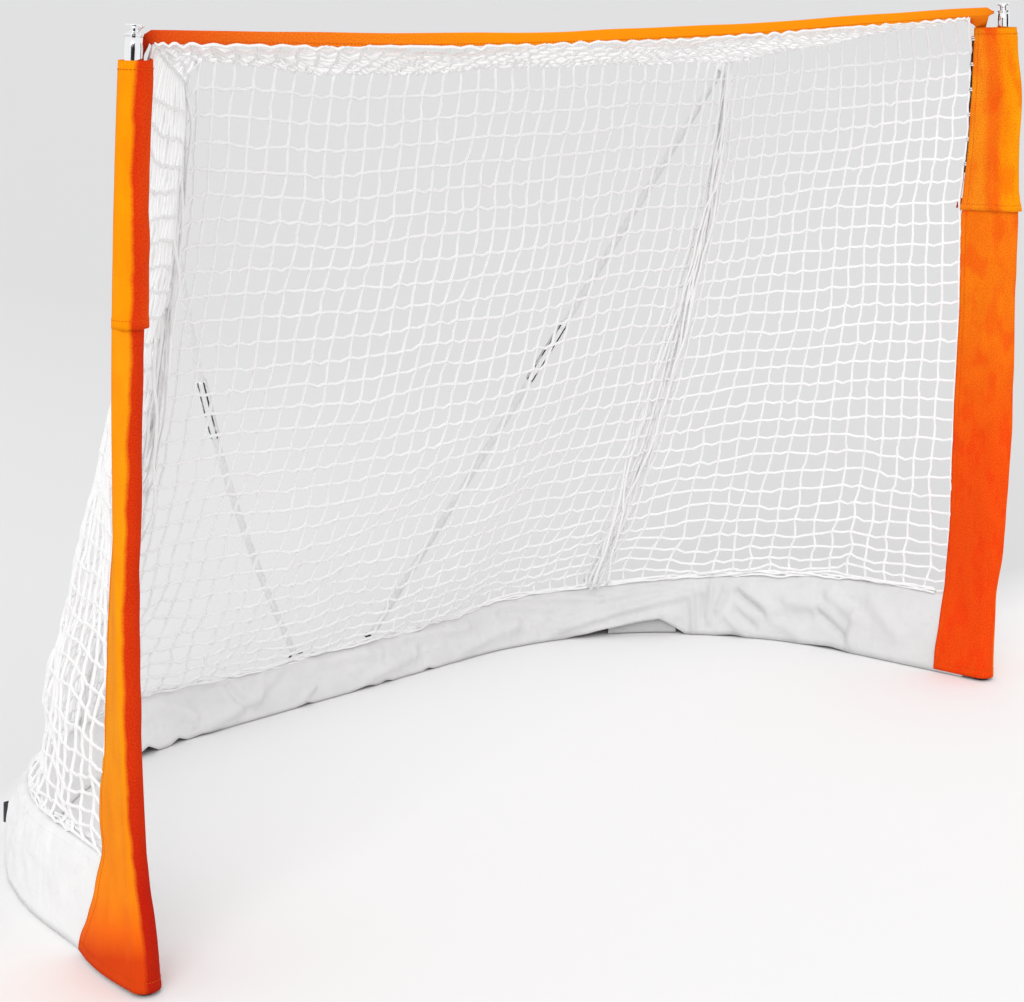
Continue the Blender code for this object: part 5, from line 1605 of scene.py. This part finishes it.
def add_camera():
    data = bpy.data.cameras.new("camera")
    data.sensor_width = 36
    data.lens = CAMERA_FOCUS * data.sensor_width / PICTURE_WIDTH
    data.clip_end = 300
    camera = show("camera", data)
    flat = math.cos(CAMERA_PITCH)
    direction = Vector((math.cos(CAMERA_YAW) * flat, math.sin(CAMERA_YAW) * flat, -math.sin(CAMERA_PITCH)))
    camera.location = Vector(CAMERA_PLACE) + Vector((0, MOUTH_Y, 0))
    camera.rotation_euler = direction.to_track_quat("-Z", "Y").to_euler()
    bpy.context.scene.camera = camera


def add_floor():
    """A pale floor, a little darker beyond the goal, so that the white net stands out against it."""
    mesh = bpy.data.meshes.new("floor")
    corners = [(x * FLOOR_HALF, y * FLOOR_HALF, 0) for x, y in ((-1, -1), (1, -1), (1, 1), (-1, 1))]
    mesh.from_pydata(corners, [], [(0, 1, 2, 3)])
    near = (0.90, 0.90, 0.902)
    f = Finish("pale_floor", near, 0.9, Specular_IOR_Level=0.1)
    x, y, _ = f.parts(f.place())
    past_x = f.math("MAXIMUM", f.math("SUBTRACT", f.math("ABSOLUTE", x), float(BEND_CENTRE[0])))
    past_y = f.math("MAXIMUM", f.math("SUBTRACT", y, float(BEND_CENTRE[1] + MOUTH_Y)))
    square = f.math("ADD", f.math("POWER", past_x, 2.0), f.math("POWER", past_y, 2.0))
    outside = f.span(f.math("SQRT", square), BASE_BEND_RADIUS + 0.02, BASE_BEND_RADIUS + 0.12)
    far = f.mix(f.span(x, 0.0, 2.2), (0.765, 0.765, 0.772), (0.695, 0.695, 0.702))
    behind = f.span(y, MOUTH_Y + 0.2, MOUTH_Y + 0.4)
    f.colour(f.mix(f.math("MULTIPLY", outside, behind), near, far))
    mesh.materials.append(f.material)
    floor = show("floor", mesh)
    floor.location.z = -0.0005


def add_flags():
    """Black flags that only the chrome sees, as beside polished metal in a studio."""
    material = Finish("flag_cloth", (0.01, 0.01, 0.012), 1.0).material
    for k, (start, end) in enumerate(FLAGS):
        corners = [(*start, 0.0), (*end, 0.0), (*end, FLAG_HEIGHT), (*start, FLAG_HEIGHT)]
        flag = new_object(f"flag_{k}", corners, [(0, 1, 2, 3)], material, smooth=False)
        for rays in ("camera", "diffuse", "transmission", "shadow"):
            setattr(flag, f"visible_{rays}", False)


def add_light():
    """A soft bright room and one broad lamp from the front left. Polished metal sees a plain white room."""
    world = bpy.data.worlds.new("studio")
    bpy.context.scene.world = world
    world.use_nodes = True
    tree = world.node_tree
    tree.nodes.clear()
    soft = add_node(tree, "ShaderNodeBackground", {"Color": (1, 1, 1, 1), "Strength": ROOM_LIGHT})
    seen = add_node(tree, "ShaderNodeBackground", {"Color": (*ROOM_SEEN, 1), "Strength": 1.0})
    rays = add_node(tree, "ShaderNodeLightPath").outputs
    shown = rays["Is Camera Ray"]
    for other in ("Is Glossy Ray", "Is Transmission Ray"):
        shown = add_node(tree, "ShaderNodeMath", {0: shown, 1: rays[other]}, operation="MAXIMUM").outputs[0]
    mixed = add_node(tree, "ShaderNodeMixShader", {0: shown, 1: soft.outputs[0], 2: seen.outputs[0]})
    add_node(tree, "ShaderNodeOutputWorld", {"Surface": mixed.outputs[0]})

    data = bpy.data.lights.new("key", "SUN")
    data.energy = LAMP
    data.angle = math.radians(35)
    key = show("key", data)
    key.rotation_euler = Vector(LAMP_HEADING).to_track_quat("-Z", "Y").to_euler()
    bpy.context.scene.view_settings.view_transform = "Standard"


# Colours of the one orange fabric. The redder, darker colours are painted shade, most of all on the inner half
# of the left upright's cuff and sleeve and low on both sleeves.
BRIGHT = (0.95, 0.295, 0.001)
LEFT_CUFF = (
    (-0.09, (0.88, 0.14, 0.004)), (-0.03, (0.80, 0.070, 0.004)), (-0.003, (0.71, 0.036, 0.003)),
    (0.003, BRIGHT),
)
RIGHT_CUFF = (
    (-0.110, (0.94, 0.27, 0.010)), (-0.075, (0.94, 0.25, 0.008)), (-0.063, (0.91, 0.15, 0.005)),
    (-0.050, (0.92, 0.16, 0.005)), (-0.038, (0.96, 0.26, 0.002)), (0.003, (0.97, 0.36, 0.001)),
)


def shaded_halves(height, inner, outer):
    """A height, and the colours of the cloth's inner and outer halves there; the redder, darker one is painted
    shade.
    """
    return height, ((-0.003, inner), (0.003, outer))


LEFT_SLEEVE = (
    shaded_halves(0.35, (0.68, 0.036, 0.003), (0.95, 0.31, 0.004)),
    shaded_halves(0.14, (0.54, 0.014, 0.003), (0.95, 0.24, 0.006)),
    shaded_halves(0.095, (0.52, 0.014, 0.003), (0.92, 0.15, 0.005)),
    shaded_halves(0.055, (0.50, 0.016, 0.003), (0.70, 0.058, 0.004)),
)
RIGHT_SLEEVE = (
    shaded_halves(0.72, (0.93, 0.185, 0.005), BRIGHT),
    shaded_halves(0.44, (0.91, 0.085, 0.004), (0.94, 0.20, 0.003)),
    shaded_halves(0.20, (0.88, 0.070, 0.004), (0.93, 0.18, 0.004)),
)
# The cuff's folded hem corner, of the same orange cloth, is painted dark red: painted shade.
HEM_CORNER = (shaded_halves(0.9, (0.30, 0.012, 0.004), (0.42, 0.02, 0.005)),)


def build():
    add_camera()
    add_floor()
    add_light()
    add_flags()

    cuffs = {
        -1: orange_cloth("left_cuff_cloth", ((1.2, LEFT_CUFF),)),
        1: orange_cloth("right_cuff_cloth", ((1.2, RIGHT_CUFF),), stains=0.5),
    }
    sleeves = {
        -1: orange_cloth("left_sleeve_cloth", LEFT_SLEEVE, (0.0, 0.013, 0.006), tilt=0.26),
        1: orange_cloth("right_sleeve_cloth", RIGHT_SLEEVE, stains=0.55),
    }
    # One fibreglass for both poles, painted paler on the left and darker on the right: painted light and shade
    # of how each pole is lit.
    rods = {
        -1: pole_finish("left_fibreglass_painted_lit", (0.76, 0.765, 0.775), (0.88, 0.885, 0.89)),
        1: pole_finish("right_fibreglass_painted_shade", (0.68, 0.685, 0.695), (0.79, 0.795, 0.80)),
    }
    thread = thread_finish("orange_thread", (0.80, 0.13, 0.005))
    white = white_cloth("white_pocket_cloth", 0.84)
    cord, chrome, ferrule, steel = net_cord(), chrome_plate(), ferrule_plate(), bright_steel()
    tape, webbing = gap_shade_finish(), webbing_finish()
    tube_paint = painted_black("black_tube_paint", 0.25, 0.45, 500.0, 0.00004)
    rubber = painted_black("black_rubber_grain", 0.65, 0.85, 350.0, 0.0002)
    plastic = painted_black("black_moulded_plastic", 0.4, 0.6, 420.0, 0.0001)
    painted = {
        "upright_lower": chrome, "upright_button": steel, "base_button": steel, "upright_spring_clip": steel,
        "base_spring_clip": steel, "base_side_tube": tube_paint, "post_foot": rubber, "pole_tip": rubber,
    }

    for side in (-1, 1):
        add_sleeve(side, sleeves[side], thread)
        add_cuff(side, cuffs[side], thread)
        add_closure_tape(side, tape, cord)
        add_side_net(side, cord)
        add_crease(side, cord)
        add_corner_pocket(side, white)
        add_post_top(side, chrome)
        add_pole(side, rods[side], ferrule)
        add_skirt_tab(side, webbing)
        add_grommet(side, plastic)
        for node, material in painted.items():
            paint(side_name(node, side), material)
    paint("rear_bar", tube_paint)
    paint("pole_hub", plastic)
    paint("hub_pad", rubber)
    add_top_band(band_cloth(), thread)
    add_cuff_corner(1, orange_cloth("hem_corner_painted_shade", HEM_CORNER))
    add_skirt(skirt_cloth(), thread_finish("white_thread", (0.84, 0.84, 0.85)))
    add_lining(white_cloth("lining_painted_shade_grey", 0.56))
    add_net_foot(cord)
    add_back_net(cord)
    add_roof_net(cord)


build()
